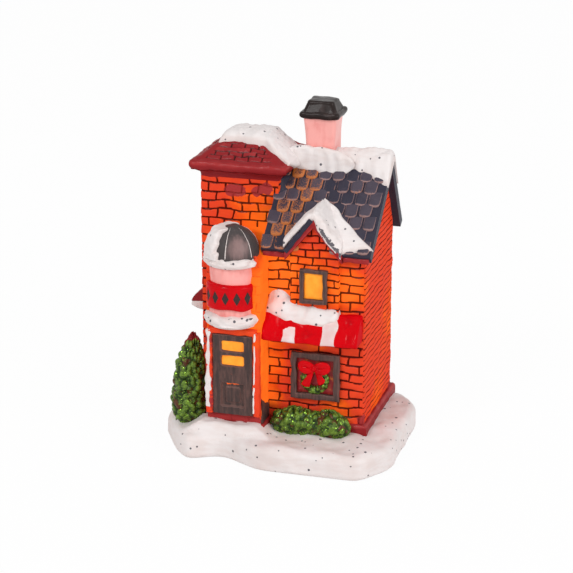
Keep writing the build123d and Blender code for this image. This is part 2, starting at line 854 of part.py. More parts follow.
with BuildPart() as dome_snow:
    with BuildSketch(oriel_plane):
        with BuildLine():
            foot, shoulder, tip = dome_points(dome_snow_thick)
            Spline(foot, shoulder, tip, tangents=[(0, 1), (-1, 0)])
            Polyline(tip, (0, tip[1]), (0, rim_top), foot)
        make_face()
    revolve(axis=oriel_axis)
    snow_edge = Plane(origin=(oriel_x + dome_snow_past, 0, rim_top), z_dir=dome_snow_edge)
    split(bisect_by=snow_edge, keep=Keep.TOP)
    add(porch_block.part, mode=Mode.SUBTRACT)
    add(oriel_dome.part, mode=Mode.SUBTRACT)
save(dome_snow, "dome_snow")

# Hood on the tower's left wall, and the white lip under it
hood_mid = tower_front + hood_from_corner + hood_width / 2
hood_bottom = ground + hood_sill
with BuildPart() as side_hood:
    with BuildSketch(Plane.XZ.offset(-hood_mid)):
        with BuildLine():
            Polyline(
                (tower_left, hood_bottom), (tower_left, hood_bottom + hood_height),
                (tower_left - hood_out, hood_bottom), close=True,
            )
        make_face()
    extrude(amount=hood_width / 2, both=True)
save(side_hood, "side_hood")

with BuildPart() as hood_lip_snow:
    with BuildSketch(Plane.XZ.offset(-hood_mid)):
        with BuildLine():
            Polyline(
                (tower_left, hood_bottom), (tower_left - hood_out, hood_bottom),
                (tower_left - hood_out, hood_bottom - hood_lip), (tower_left, hood_bottom - hood_lip_root),
                close=True,
            )
        make_face()
    extrude(amount=hood_width / 2, both=True)
save(hood_lip_snow, "hood_lip_snow")

# Fir tree in clipped tiers, and a row of round shrubs against the front wall
with BuildPart() as fir_tree:
    with BuildSketch(Plane.XZ.offset(-tree_y)):
        with BuildLine():
            tier = (tree_height + tree_root) / tree_tiers
            outline = [(tree_x, ground - tree_root)]
            for level in range(tree_tiers):
                taper_share = 1 - (level / tree_tiers) ** tree_fullness
                radius = tree_radius * taper_share
                bottom = ground - tree_root + level * tier
                outline.append((tree_x + radius, bottom))
                outline.append((tree_x + radius * tree_tier_share, bottom + tier))
            outline[-1] = (tree_x + tree_radius * tree_tip_share, ground + tree_height)
            outline.append((tree_x, ground + tree_height))
            Polyline(*outline, close=True)
        make_face()
    revolve(axis=Axis((tree_x, tree_y, 0), (0, 0, 1)))
    add(ground_base.part, mode=Mode.SUBTRACT)
    add(house_walls.part, mode=Mode.SUBTRACT)
save(fir_tree, "fir_tree")

with BuildPart() as shrubs:
    for place_share, size_share in zip(shrub_place_shares, shrub_size_shares):
        place = main_left + shrub_start + shrub_radius + place_share * (shrub_run - 2 * shrub_radius)
        with Locations((place, house_front - shrub_reach, ground + shrub_lift * size_share)):
            Sphere(shrub_radius * size_share)
    add(main_block.part, mode=Mode.SUBTRACT)
    add(porch_block.part, mode=Mode.SUBTRACT)
    add(ground_base.part, mode=Mode.SUBTRACT)
    add(house_walls.part, mode=Mode.SUBTRACT)
    split(bisect_by=Plane.XY.offset(ground), keep=Keep.TOP)
save(shrubs, "shrubs")

# Light unit: flanged plate below, cup above, cell in a round well with a twist-lock cover
light = (light_x, light_y)
well = (light_x - well_shift, light_y)
rim_inside = cell_radius + light_gap
hole_radius = rim_inside + cover_rim + light_gap
well_radius = hole_radius + lug_reach + light_gap
well_top = plate_bottom + cover_thick + cell_thick + contact_space
switch_x = light_x - well_shift + well_radius + well_wall + light_gap + switch_width / 2
boss_places = [(light_x + boss_x, light_y - boss_y), (light_x + boss_x, light_y + boss_y)]


def sector(start, inner, outer, sweep):
    """One flat ring sector about the well's axis."""
    middle, half = radians(start + sweep / 2), radians(sweep / 2)
    far = outer / cos(half)
    corners = [
        (well[0] + far * cos(middle + turn), well[1] + far * sin(middle + turn)) for turn in (-half, half)
    ]
    with Locations(well):
        Circle(outer)
        Circle(inner, mode=Mode.SUBTRACT)
    Polygon(well, *corners, align=None, mode=Mode.INTERSECT)


with BuildPart() as light_plate:
    with BuildSketch(Plane.XY.offset(plate_bottom)):
        with Locations(light):
            Circle(flange_radius)
        with Locations(well):
            Circle(hole_radius, mode=Mode.SUBTRACT)
    extrude(amount=plate_thick)
    with BuildSketch(Plane.XY.offset(plate_top)):
        with Locations(well):
            Circle(well_radius + well_wall)
            Circle(well_radius, mode=Mode.SUBTRACT)
    extrude(amount=well_top - plate_top)
    for lug in range(lug_count):
        notch_start = lug * 360 / lug_count + lug_start - lug_play / 2
        with BuildSketch(Plane.XY.offset(plate_bottom)):
            sector(notch_start, cell_radius, well_radius, lug_angle + lug_play)
        extrude(amount=plate_thick, mode=Mode.SUBTRACT)
    with BuildSketch(Plane.XY.offset(plate_bottom)):
        with Locations((switch_x, light_y)):
            Rectangle(knob_width + 2 * light_gap, knob_length + switch_travel + 2 * light_gap)
        with Locations(*boss_places):
            Circle(screw_radius + screw_fit)
    extrude(amount=plate_thick, mode=Mode.SUBTRACT)
    with BuildSketch(Plane.XY.offset(plate_bottom)):
        with Locations(*boss_places):
            Circle(screw_head + screw_fit)
    extrude(amount=screw_head_thick, mode=Mode.SUBTRACT)
save(light_plate, "light_plate")

cup_top = plate_top + cup_height
ring_z = (plate_top + base_height) / 2
ring_radius = cup_radius + light_gap - ring_fit - ring_round
boss_radius = screw_radius + boss_wall
with BuildPart() as light_cup:
    with BuildSketch(Plane.XY.offset(plate_top)):
        with Locations(light):
            Circle(cup_radius)
    extrude(amount=cup_height)
    with BuildSketch(Plane.XY.offset(plate_top)):
        with Locations(light):
            Circle(cup_radius - cup_wall)
        with Locations(*boss_places):
            Circle(boss_radius, mode=Mode.SUBTRACT)
    extrude(amount=cup_height - cup_wall, mode=Mode.SUBTRACT)
    with BuildSketch(Plane.XY.offset(plate_top)):
        with Locations(*boss_places):
            Circle(screw_radius + screw_fit)
    extrude(amount=screw_length, mode=Mode.SUBTRACT)
    with BuildSketch(Plane.XY.offset(cup_top)):
        with Locations(light):
            Circle(led_radius + light_gap)
    extrude(amount=-cup_wall, mode=Mode.SUBTRACT)
    with BuildSketch(Plane(origin=(light_x, light_y, 0), x_dir=(1, 0, 0), z_dir=(0, -1, 0))):
        with Locations((ring_radius, ring_z)):
            Circle(ring_round + ring_fit)
    revolve(axis=Axis((light_x, light_y, 0), (0, 0, 1)), mode=Mode.SUBTRACT)
save(light_cup, "light_cup")

with BuildPart() as grip_ring:
    with BuildSketch(Plane(origin=(light_x, light_y, 0), x_dir=(1, 0, 0), z_dir=(0, -1, 0))):
        with Locations((ring_radius, ring_z)):
            Circle(ring_round)
    revolve(axis=Axis((light_x, light_y, 0), (0, 0, 1)))
save(grip_ring, "grip_ring")

with BuildPart() as plate_screws:
    with BuildSketch(Plane.XY.offset(plate_bottom)):
        with Locations(*boss_places):
            Circle(screw_head)
    extrude(amount=screw_head_thick)
    with BuildSketch(Plane.XY.offset(plate_bottom)):
        with Locations(*boss_places):
            Circle(screw_radius)
    extrude(amount=screw_length)
save(plate_screws, "plate_screws")

with BuildPart() as circuit_board:
    with BuildSketch(Plane.XY.offset(well_top)):
        with Locations(light):
            Circle(cup_radius - cup_wall - board_gap)
        with Locations(*boss_places):
            Circle(boss_radius + board_gap, mode=Mode.SUBTRACT)
    extrude(amount=board_thick)
save(circuit_board, "circuit_board")

board_top = well_top + board_thick
led_foot = board_top + led_leg_length
leg_places = [(light_x - led_leg_pitch / 2, light_y), (light_x + led_leg_pitch / 2, light_y)]
with BuildPart() as led_legs:
    with BuildSketch(Plane.XY.offset(board_top)):
        with Locations(*leg_places):
            Rectangle(led_leg, led_leg)
    extrude(amount=led_leg_length)
save(led_legs, "led_legs")

with BuildPart() as led:
    with BuildSketch(Plane(origin=(light_x, light_y, 0), x_dir=(1, 0, 0), z_dir=(0, -1, 0))):
        with BuildLine():
            shoulder = led_foot + led_body
            Polyline(
                (0, shoulder + led_radius), (0, led_foot), (led_radius + led_rim, led_foot),
                (led_radius + led_rim, led_foot + led_rim_thick), (led_radius, led_foot + led_rim_thick),
                (led_radius, shoulder),
            )
            CenterArc((0, shoulder), led_radius, 0, 90)
        make_face()
    revolve(axis=Axis((light_x, light_y, 0), (0, 0, 1)))
save(led, "led")

# Slide switch beside the well, its knob reached through a slot in the plate
switch_top = plate_top + switch_height
slot_length = knob_length + switch_travel + 2 * light_gap
with BuildPart() as switch_case:
    with BuildSketch(Plane.XY.offset(plate_top)):
        with Locations((switch_x, light_y)):
            Rectangle(switch_width, switch_length)
    extrude(amount=switch_height)
    with BuildSketch(Plane.XY.offset(plate_top + switch_wall)):
        with Locations((switch_x, light_y)):
            Rectangle(switch_width - 2 * switch_wall, switch_length - 2 * switch_wall)
    extrude(amount=switch_height - 2 * switch_wall, mode=Mode.SUBTRACT)
    with BuildSketch(Plane.XY.offset(plate_top)):
        with Locations((switch_x, light_y)):
            Rectangle(knob_width + 2 * light_gap, slot_length)
    extrude(amount=switch_wall, mode=Mode.SUBTRACT)
    with BuildSketch(Plane.XY.offset(switch_top)):
        with Locations((switch_x, light_y - pin_pitch), (switch_x, light_y), (switch_x, light_y + pin_pitch)):
            Rectangle(pin_size, pin_size)
    extrude(amount=well_top - switch_top)
save(switch_case, "switch_case")

knob_y = light_y - switch_travel / 2
with BuildPart() as switch_knob:
    with BuildSketch(Plane.XY.offset(plate_bottom)):
        with Locations((switch_x, knob_y)):
            Rectangle(knob_width, knob_length)
    extrude(amount=plate_thick + switch_wall + light_gap)
    with BuildSketch(Plane.XY.offset(plate_top + switch_wall + light_gap)):
        with Locations((switch_x, knob_y)):
            Rectangle(switch_width - 2 * switch_wall - 2 * light_gap, slider_length)
    extrude(amount=slider_height)
save(switch_knob, "switch_knob")

# Coin cell, its contacts and the cover
cell_bottom = plate_bottom + cover_thick
cell_top = cell_bottom + cell_thick
with BuildPart() as coin_cell:
    with BuildSketch(Plane.XY.offset(cell_bottom)):
        with Locations(well):
            Circle(cell_radius)
    extrude(amount=cell_thick)
save(coin_cell, "coin_cell")

with BuildPart() as contact_minus:
    with BuildSketch(Plane.XZ.offset(-light_y)):
        with BuildLine():
            Polyline(
                (well[0] - contact_width, well_top), (well[0], cell_top), (well[0] + contact_width, well_top),
                (well[0] + contact_width - contact_thick, well_top), (well[0], cell_top + contact_thick),
                (well[0] - contact_width + contact_thick, well_top), close=True,
            )
        make_face()
    extrude(amount=contact_width / 2, both=True)
save(contact_minus, "contact_minus")

with BuildPart() as contact_plus:
    with BuildSketch(Plane.XY.offset(cell_top - cell_thick / 2)):
        with Locations((well[0] - cell_radius - contact_thick / 2, well[1])):
            Rectangle(contact_thick, contact_width)
    extrude(amount=well_top - cell_top + cell_thick / 2)
save(contact_plus, "contact_plus")

with BuildPart() as battery_cover:
    with BuildSketch(Plane.XY.offset(plate_bottom)):
        with Locations(well):
            Circle(hole_radius - light_gap)
    extrude(amount=cover_thick)
    with BuildSketch(Plane.XY.offset(plate_bottom + cover_thick)):
        with Locations(well):
            Circle(hole_radius - light_gap)
            Circle(rim_inside, mode=Mode.SUBTRACT)
    extrude(amount=plate_top + light_gap + lug_thick - plate_bottom - cover_thick)
    for lug in range(lug_count):
        with BuildSketch(Plane.XY.offset(plate_top + light_gap)):
            sector(lug * 360 / lug_count, rim_inside, hole_radius + lug_reach, lug_angle)
        extrude(amount=lug_thick)
    with BuildSketch(Plane.XY.offset(plate_bottom)):
        with Locations(well):
            SlotOverall(coin_slot_length, coin_slot_width)
    extrude(amount=coin_slot_depth, mode=Mode.SUBTRACT)
save(battery_cover, "battery_cover")
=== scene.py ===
from collections import namedtuple
from math import cos, pi, radians, sin, tan

import bmesh
import bpy
import numpy as np
from bpy.props import FloatProperty, FloatVectorProperty, PointerProperty
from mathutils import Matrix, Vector


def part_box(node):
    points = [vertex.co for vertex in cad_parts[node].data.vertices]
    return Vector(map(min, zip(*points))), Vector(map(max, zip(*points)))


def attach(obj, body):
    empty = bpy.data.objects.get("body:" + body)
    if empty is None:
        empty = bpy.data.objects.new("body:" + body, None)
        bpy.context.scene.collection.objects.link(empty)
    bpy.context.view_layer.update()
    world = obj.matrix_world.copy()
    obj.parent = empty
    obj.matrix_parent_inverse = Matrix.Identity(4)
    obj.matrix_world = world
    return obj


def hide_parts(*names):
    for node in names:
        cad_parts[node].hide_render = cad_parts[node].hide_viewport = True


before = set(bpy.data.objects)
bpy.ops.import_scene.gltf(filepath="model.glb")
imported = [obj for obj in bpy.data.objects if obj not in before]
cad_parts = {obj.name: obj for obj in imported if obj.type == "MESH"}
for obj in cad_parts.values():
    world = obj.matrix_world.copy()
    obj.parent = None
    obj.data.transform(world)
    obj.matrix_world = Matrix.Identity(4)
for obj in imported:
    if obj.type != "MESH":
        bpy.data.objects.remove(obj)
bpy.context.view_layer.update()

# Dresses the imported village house: brick walls, shingles, snow, joinery and planting over the solids.
# Metres throughout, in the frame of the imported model, with the front towards -Y.

bl_info = {
    "name": "Ceramic Village House",
    "version": (1, 0, 0),
    "blender": (4, 5, 0),
    "location": "3D View > Sidebar > Village House",
    "description": "Builds the glazed outside of a lit ceramic village house over its solids",
    "category": "Add Mesh",
}

mm = 0.001

# Plan and heights of the house
ground = 8.0 * mm
wall = 2.8 * mm
house_front = -10.0 * mm
house_back = 27.0 * mm
house_right = 26.8 * mm
main_left = -3.6 * mm
tower_left = -29.2 * mm
tower_front = 2.0 * mm
tower_top = 83.3 * mm
bay_left = -21.2 * mm
bay_front = -18.0 * mm
bay_spring = 59.4 * mm
front_wall_top = 64.7 * mm
back_wall_top = 65.0 * mm
ridge_y = 15.0 * mm
front_pitch = radians(39.5)
roof_thick = 2.8 * mm
eave_out = 1.0 * mm
back_eave_out = 0.5 * mm
roof_left = -5.2 * mm
roof_right = 29.0 * mm
bay_half = (main_left - bay_left) / 2
bay_mid = (main_left + bay_left) / 2

# Slopes of the main roof, worked out in the Y-Z plane
ridge_under = front_wall_top + (ridge_y - house_front) * tan(front_pitch)
back_rise = (ridge_under - back_wall_top) / (house_back - ridge_y)
back_pitch = np.arctan(back_rise)
front_up = np.array([cos(front_pitch), sin(front_pitch)])
front_out = np.array([-sin(front_pitch), cos(front_pitch)])
back_up = np.array([-cos(back_pitch), sin(back_pitch)])
back_out = np.array([sin(back_pitch), cos(back_pitch)])
front_eave = np.array([house_front - eave_out, front_wall_top - eave_out * tan(front_pitch)])
back_eave = np.array([house_back + back_eave_out, back_wall_top - back_eave_out * back_rise])
front_eave_top = front_eave + roof_thick * front_out
back_eave_top = back_eave + roof_thick * back_out
slope_lengths = np.linalg.solve(np.stack([front_up, -back_up], axis=1), back_eave_top - front_eave_top)
ridge_top = front_eave_top + slope_lengths[0] * front_up

# Dormer
dormer_x = 11.4 * mm
dormer_half = 7.6 * mm
dormer_front = -11.8 * mm
dormer_pitch = radians(50.0)
dormer_rise = tan(dormer_pitch)
dormer_eave_half = 8.9 * mm
dormer_peak = front_wall_top + dormer_half * dormer_rise
dormer_roof_thick = 1.8 * mm
dormer_roof_up = dormer_roof_thick / cos(dormer_pitch)


def measure(name, description, millimetres):
    """A length property of the sizes."""
    return FloatProperty(name=name, description=description, default=millimetres * mm, unit="LENGTH")


class HouseSizes(bpy.types.PropertyGroup):
    """Sizes of the worked surfaces that a user would change."""

    brick_course: measure("Brick course", "Height of one course, except on the right wall", 2.85)
    brick_length: measure("Brick length", "Length of one brick on the tower and the bay", 5.35)
    side_course: measure("Side course", "Height of one course on the right wall", 1.75)
    joint_width: measure("Joint width", "Width of the scored joints between bricks", 0.62)
    joint_depth: measure("Joint depth", "Depth of the scored joints", 0.42)
    tile_width: measure("Tile width", "Width of one roof shingle", 3.7)
    tile_length: measure("Tile length", "Length of one roof shingle", 5.0)
    tile_thick: measure("Tile thickness", "Thickness of a shingle at its lower edge", 0.85)
    snow_lumps: measure("Snow lumps", "Height of the swells in the laid snow", 0.22)
    leaf_pitch: measure("Leaf pitch", "Spacing of the leaf tufts on the planting", 2.1)
    leaf_depth: measure("Leaf depth", "Height of the leaf tufts", 0.9)


def colour(name, description, default):
    """A colour property of the palette."""
    return FloatVectorProperty(
        name=name, description=description, default=default, subtype="COLOR", size=3, min=0.0, max=1.0)


class GlazeColours(bpy.types.PropertyGroup):
    """Colours of the glazes and paints."""

    brick_light: colour("Brick light", "Glaze on the palest bricks", (0.82, 0.072, 0.010))
    brick_deep: colour("Brick deep", "Glaze on the deepest bricks", (0.68, 0.042, 0.008))
    coral: colour("Coral", "Glaze on bricks that little light comes through", (0.80, 0.062, 0.022))
    joint: colour("Joint", "Stain left in the scored joints", (0.10, 0.008, 0.005))
    ember: colour("Ember", "Lamp light seen through the walls", (1.0, 0.25, 0.016))
    crimson: colour("Crimson", "Glaze on the tower roof, bargeboards and plinth", (0.27, 0.017, 0.020))
    # Crimson light also paints the highlight on the tower cornice's lip and tiles
    crimson_light: colour("Crimson light", "Same glaze where it runs thin", (0.40, 0.040, 0.040))
    slate: colour("Slate", "Glaze between the shingles", (0.030, 0.028, 0.046))
    slate_light: colour("Slate light", "Glaze on the shingles", (0.075, 0.060, 0.082))
    slate_edge: colour("Slate edge", "Clay showing on the shingles' edges", (0.33, 0.20, 0.19))
    slate_wash: colour("Slate wash", "Thin golden wash on some shingles", (0.48, 0.16, 0.055))
    snow: colour("Snow", "White slip", (0.80, 0.745, 0.735))
    # Snow shade is the tint of thin slip and also painted shade on the snow's sloping sides
    snow_shade: colour("Snow shade", "Slip where it is thin and pinkish", (0.735, 0.64, 0.615))
    pink: colour("Pink", "Glaze on the chimney and the drum", (0.92, 0.40, 0.365))
    pink_deep: colour("Pink deep", "Same glaze where it gathers", (0.80, 0.245, 0.22))
    black: colour("Black", "Glaze on the chimney cap", (0.018, 0.011, 0.010))
    dome: colour("Dome", "Glaze on the dome", (0.060, 0.050, 0.050))
    dome_worn: colour("Dome worn", "Glaze worn off the dome's swellings", (0.26, 0.165, 0.158))
    red: colour("Red", "Paint on the awning, sign and bow", (0.62, 0.002, 0.006))
    red_deep: colour("Red deep", "Same paint where it is thick", (0.42, 0.002, 0.006))
    cream: colour("Cream", "White paint between the awning's stripes", (0.78, 0.58, 0.57))
    charcoal: colour("Charcoal", "Glaze on the door and window frames", (0.052, 0.034, 0.032))
    charcoal_light: colour("Charcoal light", "Same glaze where it runs thin", (0.135, 0.070, 0.060))
    amber: colour("Amber", "Glowing panes", (0.90, 0.33, 0.028))
    # Leaf bright is the glitter's colour and also the painted highlight on the tufts' crowns
    leaf: colour("Leaf", "Deep green of the planting", (0.018, 0.042, 0.004))
    leaf_highlight_and_glitter: colour("Leaf bright", "Glitter on the planting", (0.17, 0.29, 0.035))
    twig: colour("Twig", "Brown patches in the planting", (0.10, 0.030, 0.010))


# Numpy surfaces

Shell = namedtuple("Shell", "points faces marks")


def quads(rows, columns, wrap_rows=False, wrap_columns=False):
    """Corner numbers of the quads on a grid, joined up where a direction wraps round."""
    i = np.arange(rows if wrap_rows else rows - 1)
    j = np.arange(columns if wrap_columns else columns - 1)
    i, j = (axis.ravel() for axis in np.meshgrid(i, j, indexing="ij"))
    down, side = (i + 1) % rows, (j + 1) % columns
    return np.stack([i * columns + j, down * columns + j, down * columns + side, i * columns + side], axis=1)


def slabs(fronts, backs, **marks):
    """Closed sheets: each front grid is joined to its back grid of the same size along the four borders."""
    count, rows, columns = fronts.shape[:3]
    size = rows * columns
    face = quads(rows, columns)
    right = np.arange(rows - 1) * columns + columns - 1
    rim = np.concatenate([np.arange(columns - 1), right, size - 1 - np.arange(columns - 1), right[::-1] + 1])
    ahead = np.roll(rim, -1)
    sides = np.stack([rim, ahead, ahead + size, rim + size], axis=1)
    one = np.concatenate([face, face[:, ::-1] + size, sides])
    faces = (one[None] + (np.arange(count) * 2 * size)[:, None, None]).reshape(-1, 4)
    points = np.concatenate([fronts.reshape(count, size, 3), backs.reshape(count, size, 3)], axis=1)
    both = {
        name: np.tile(np.broadcast_to(value, fronts.shape[:3]).reshape(count, size), (1, 2)).ravel()
        for name, value in marks.items()
    }
    return Shell(points.reshape(-1, 3), faces, both)


def slab(front, back, **marks):
    """One closed sheet from a front grid and a back grid."""
    return slabs(front[None], back[None], **{name: np.asarray(value)[None] for name, value in marks.items()})


def ring(loops, **marks):
    """A closed skin whose grid wraps round both ways, as a tyre's does."""
    rows, columns = loops.shape[:2]
    flat = {name: np.broadcast_to(value, (rows, columns)).ravel() for name, value in marks.items()}
    return Shell(loops.reshape(-1, 3), quads(rows, columns, True, True), flat)


def stack(loops, **marks):
    """A closed skin over a stack of loops, each end shut by a fan of faces to its middle."""
    first, last = loops[0].mean(axis=0), loops[-1].mean(axis=0)
    ends = [np.broadcast_to(end, loops[0].shape)[None] for end in (first, last)]
    rows, columns = loops.shape[0] + 2, loops.shape[1]
    points = np.concatenate([ends[0], loops, ends[1]])
    flat = {}
    for name, value in marks.items():
        value = np.broadcast_to(value, loops.shape[:2])
        flat[name] = np.concatenate([value[:1], value, value[-1:]]).ravel()
    return Shell(points.reshape(-1, 3), quads(rows, columns, False, True), flat)


def ripples(points, size, seed, waves=9):
    """Smooth swell, mostly between -1 and 1: a sum of sine waves of one length in seeded directions."""
    source = np.random.default_rng(seed)
    directions = source.normal(size=(3, waves))
    directions /= np.linalg.norm(directions, axis=0)
    phases = source.uniform(0, 2 * pi, waves)
    return np.sin(points @ directions * (2 * pi / size) + phases).sum(axis=-1) / waves ** 0.5


def smooth(value, low, high):
    """Rises from 0 at low to 1 at high along an S curve."""
    share = np.clip((value - low) / (high - low), 0, 1)
    return share * share * (3 - 2 * share)


def grid(first, second):
    """Two arrays of parameters over a grid."""
    return np.meshgrid(first, second, indexing="ij")


def spread(*parts):
    """Stacks coordinate arrays into one array of points."""
    return np.stack(np.broadcast_arrays(*parts), axis=-1)


upward = np.array([0, 0, 1.0])


def full_turn(count):
    """Even angles once round, without the last that would repeat the first."""
    return np.linspace(0, 2 * pi, count + 1)[:-1]


def squared(value, power):
    """A sine or cosine raised to a power under 1 with its sign kept, which squares an oval."""
    return np.sign(value) * np.abs(value) ** power


def level_out(points, middle):
    """Level unit vectors from an upright axis to points."""
    away = points - np.array([*middle, 0])
    away[..., 2] = 0
    return away / np.linalg.norm(away, axis=-1, keepdims=True)


def softened(corners, places):
    """An outline read at places along its corners, then rounded by the mean of each three neighbours."""
    steps = np.arange(len(corners))
    outline = np.stack([np.interp(places, steps, corners[:, k]) for k in (0, 1)], axis=1)
    return sum(np.roll(outline, k, axis=0) for k in (-1, 0, 1)) / 3


def along_sides(corners, shares):
    """Points at shares of each side of a closed outline."""
    sides = corners[:, None] + (np.roll(corners, -1, axis=0) - corners)[:, None] * shares[None, :, None]
    return sides.reshape(-1, 2)


def jostle(points, size, seed):
    """A swell of its own along each axis."""
    return spread(*(ripples(points, size, seed + k) for k in range(3)))


def box(node):
    """Lowest and highest corner of a solid as arrays."""
    low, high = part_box(node)
    return np.array(low), np.array(high)


def rectangle_loop(middle, half_x, half_y, height, corner, per_side=24, per_corner=5):
    """Level loop round a rectangle with arcs for corners: even points along each side and round each arc."""
    turns = np.linspace(0, pi / 2, per_corner)
    along = np.linspace(-1, 1, per_side)[1:-1]
    x, y = half_x - corner, half_y - corner
    pieces = []
    for quarter, (sx, sy) in enumerate(((1, 1), (-1, 1), (-1, -1), (1, -1))):
        angle = turns + quarter * pi / 2
        pieces.append(np.stack([sx * x + corner * np.cos(angle), sy * y + corner * np.sin(angle)], axis=1))
        if quarter % 2 == 0:
            pieces.append(np.stack([-sx * along * x, np.full_like(along, sy * half_y)], axis=1))
        else:
            pieces.append(np.stack([np.full_like(along, sx * half_x), -sy * along * y], axis=1))
    flat = np.concatenate(pieces) + np.asarray(middle)[:2]
    return np.column_stack([flat, np.full(len(flat), height)])


pattern_repeat = 64


def buds(around, along, seed, period):
    """Round buds, one in each unit cell: height falls with squared distance, and each has its own tone."""
    source = np.random.default_rng(seed)
    table = source.uniform(0, 1, (period, pattern_repeat, 3))
    best = np.full(around.shape, -9.0)
    tone = np.zeros(around.shape)
    for i in (-1, 0, 1):
        for j in (-1, 0, 1):
            a, b = np.floor(around).astype(int) + i, np.floor(along).astype(int) + j
            seedling = table[a % period, b % pattern_repeat]
            reach = (around - a - seedling[..., 0]) ** 2 + (along - b - seedling[..., 1]) ** 2
            height = 1 - 1.5 * reach - 0.35 * seedling[..., 2]
            tone = np.where(height > best, seedling[..., 2], tone)
            best = np.maximum(best, height)
    return np.clip(best, 0, 1), tone


bar_steps = 60
merge_gap = 0.002 * mm


def face_bar(start, end, half, deep, seed, lumps, **marks):
    """A bar on a front face: a squared oval carried from start to end, so wide across and so deep out."""
    t, a = grid(np.linspace(0, 1, bar_steps), full_turn(24))
    start, end = np.array(start), np.array(end)
    ahead = (end - start) / np.linalg.norm(end - start)
    across = np.array([-ahead[2], 0, ahead[0]])
    wide = np.broadcast_to(half, bar_steps)[:, None] * squared(np.cos(a), 0.6)
    points = start + (end - start) * t[..., None] + across * wide[..., None]
    points[..., 1] -= np.broadcast_to(deep, bar_steps)[:, None] * squared(np.sin(a), 0.6)
    points = points + lumps * jostle(points, 3 * mm, seed)
    return stack(points, **{name: value + 0 * t for name, value in marks.items()})


def piece(name, shells, glaze_name, nodes=(), body="house", sharp=40.0):
    """One object from closed shells: doubles merged, faces turned outwards, marks kept as attributes."""
    starts = np.cumsum([0] + [len(shell.points) for shell in shells])
    points = np.concatenate([shell.points for shell in shells])
    faces = np.concatenate([shell.faces + start for shell, start in zip(shells, starts)])
    mesh = bpy.data.meshes.new(name)
    mesh.from_pydata(points.tolist(), [], faces.tolist())
    for mark in sorted({mark for shell in shells for mark in shell.marks}):
        values = [shell.marks.get(mark, np.zeros(len(shell.points))) for shell in shells]
        attribute = mesh.attributes.new(mark, "FLOAT", "POINT")
        attribute.data.foreach_set("value", np.concatenate(values).astype(np.float32))
    work = bmesh.new()
    work.from_mesh(mesh)
    bmesh.ops.remove_doubles(work, verts=work.verts, dist=merge_gap)
    bmesh.ops.dissolve_degenerate(work, edges=work.edges, dist=merge_gap)
    bmesh.ops.recalc_face_normals(work, faces=work.faces)
    work.to_mesh(mesh)
    work.free()
    mesh.shade_smooth()
    mesh.set_sharp_from_angle(angle=radians(sharp))
    mesh.materials.append(finish(glaze_name))
    made = bpy.data.objects.new(name, mesh)
    bpy.context.scene.collection.objects.link(made)
    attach(made, body)
    if nodes:
        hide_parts(*nodes)
    return made


# Materials


class Link:
    """A shader node's output; sums and products on it add Math nodes to its tree."""

    def __init__(self, paint, socket):
        self.paint = paint
        self.socket = socket

    def __add__(self, other):
        return self.paint.math("ADD", self, other)

    __radd__ = __add__

    def __sub__(self, other):
        return self.paint.math("SUBTRACT", self, other)

    def __rsub__(self, other):
        return self.paint.math("SUBTRACT", other, self)

    def __mul__(self, other):
        return self.paint.math("MULTIPLY", self, other)

    __rmul__ = __mul__

    def __gt__(self, other):
        return self.paint.math("GREATER_THAN", self, other)

    def __lt__(self, other):
        return self.paint.math("LESS_THAN", self, other)


class Paint:
    """One material: its tree, its main shader, and short ways to add nodes."""

    def __init__(self, name, constants):
        self.material = bpy.data.materials.new(name)
        self.material.use_nodes = True
        self.tree = self.material.node_tree
        self.shader = self.tree.nodes["Principled BSDF"]
        self.place = None
        self.set(constants)

    def feed(self, socket, value):
        """Links an output to a socket, or sets the socket's own value."""
        if isinstance(value, Link):
            self.tree.links.new(value.socket, socket)
        elif socket.type == "RGBA":
            socket.default_value = (*value, 1.0)
        else:
            socket.default_value = value

    def set(self, values):
        """Sets or links sockets of the main shader by name."""
        for name, value in values.items():
            self.feed(self.shader.inputs[name], value)

    def node(self, kind, settings, inputs, output=0):
        """Adds a node, sets it up, feeds its sockets, and gives one of its outputs."""
        made = self.tree.nodes.new(kind)
        for name, value in settings.items():
            setattr(made, name, value)
        for name, value in inputs.items():
            self.feed(made.inputs[name], value)
        return Link(self, made.outputs[output])

    def math(self, operation, first, second):
        """One Math node."""
        return self.node("ShaderNodeMath", {"operation": operation}, {0: first, 1: second})

    def mix(self, share, first, second):
        """A colour between two, by share."""
        return self.node("ShaderNodeMix", {"data_type": "RGBA"}, {0: share, 6: first, 7: second}, 2)

    def fade(self, value, low, high):
        """An S curve from 0 at low to 1 at high."""
        return self.node(
            "ShaderNodeMapRange", {"interpolation_type": "SMOOTHSTEP"},
            {"Value": value, "From Min": low, "From Max": high, "To Min": 0.0, "To Max": 1.0})

    def where(self, stretch=(1.0, 1.0, 1.0)):
        """Places on the piece, each direction drawn out by its stretch."""
        if self.place is None:
            self.place = self.node("ShaderNodeTexCoord", {}, {}, "Object")
        shrink = tuple(1.0 / share for share in stretch)
        return self.node("ShaderNodeVectorMath", {"operation": "MULTIPLY"}, {0: self.place, 1: shrink})

    def noise(self, size, detail=2.0, stretch=(1.0, 1.0, 1.0)):
        """Cloudy values about a half, with clouds of a given size."""
        return self.node(
            "ShaderNodeTexNoise", {},
            {"Vector": self.where(stretch), "Scale": 1.0 / size, "Detail": detail})

    def cells(self, size, output):
        """Scattered cells of a given size: the distance to their middles, or a random colour for each."""
        return self.node("ShaderNodeTexVoronoi", {}, {"Vector": self.where(), "Scale": 1.0 / size}, output)

    def part(self, vector, axis):
        """One coordinate of a vector or channel of a colour."""
        return self.node("ShaderNodeSeparateXYZ", {}, {0: vector}, axis)

    def mark(self, name):
        """A value kept on the mesh's points."""
        return self.node("ShaderNodeAttribute", {"attribute_name": name}, {}, "Fac")

    def bump(self, height, depth):
        """Roughens the surface by a height pattern of a given depth."""
        relief = {"Height": height, "Distance": depth, "Strength": 1.0}
        self.set({"Normal": self.node("ShaderNodeBump", {}, relief)})


nothing = (0.0, 0.0, 0.0)


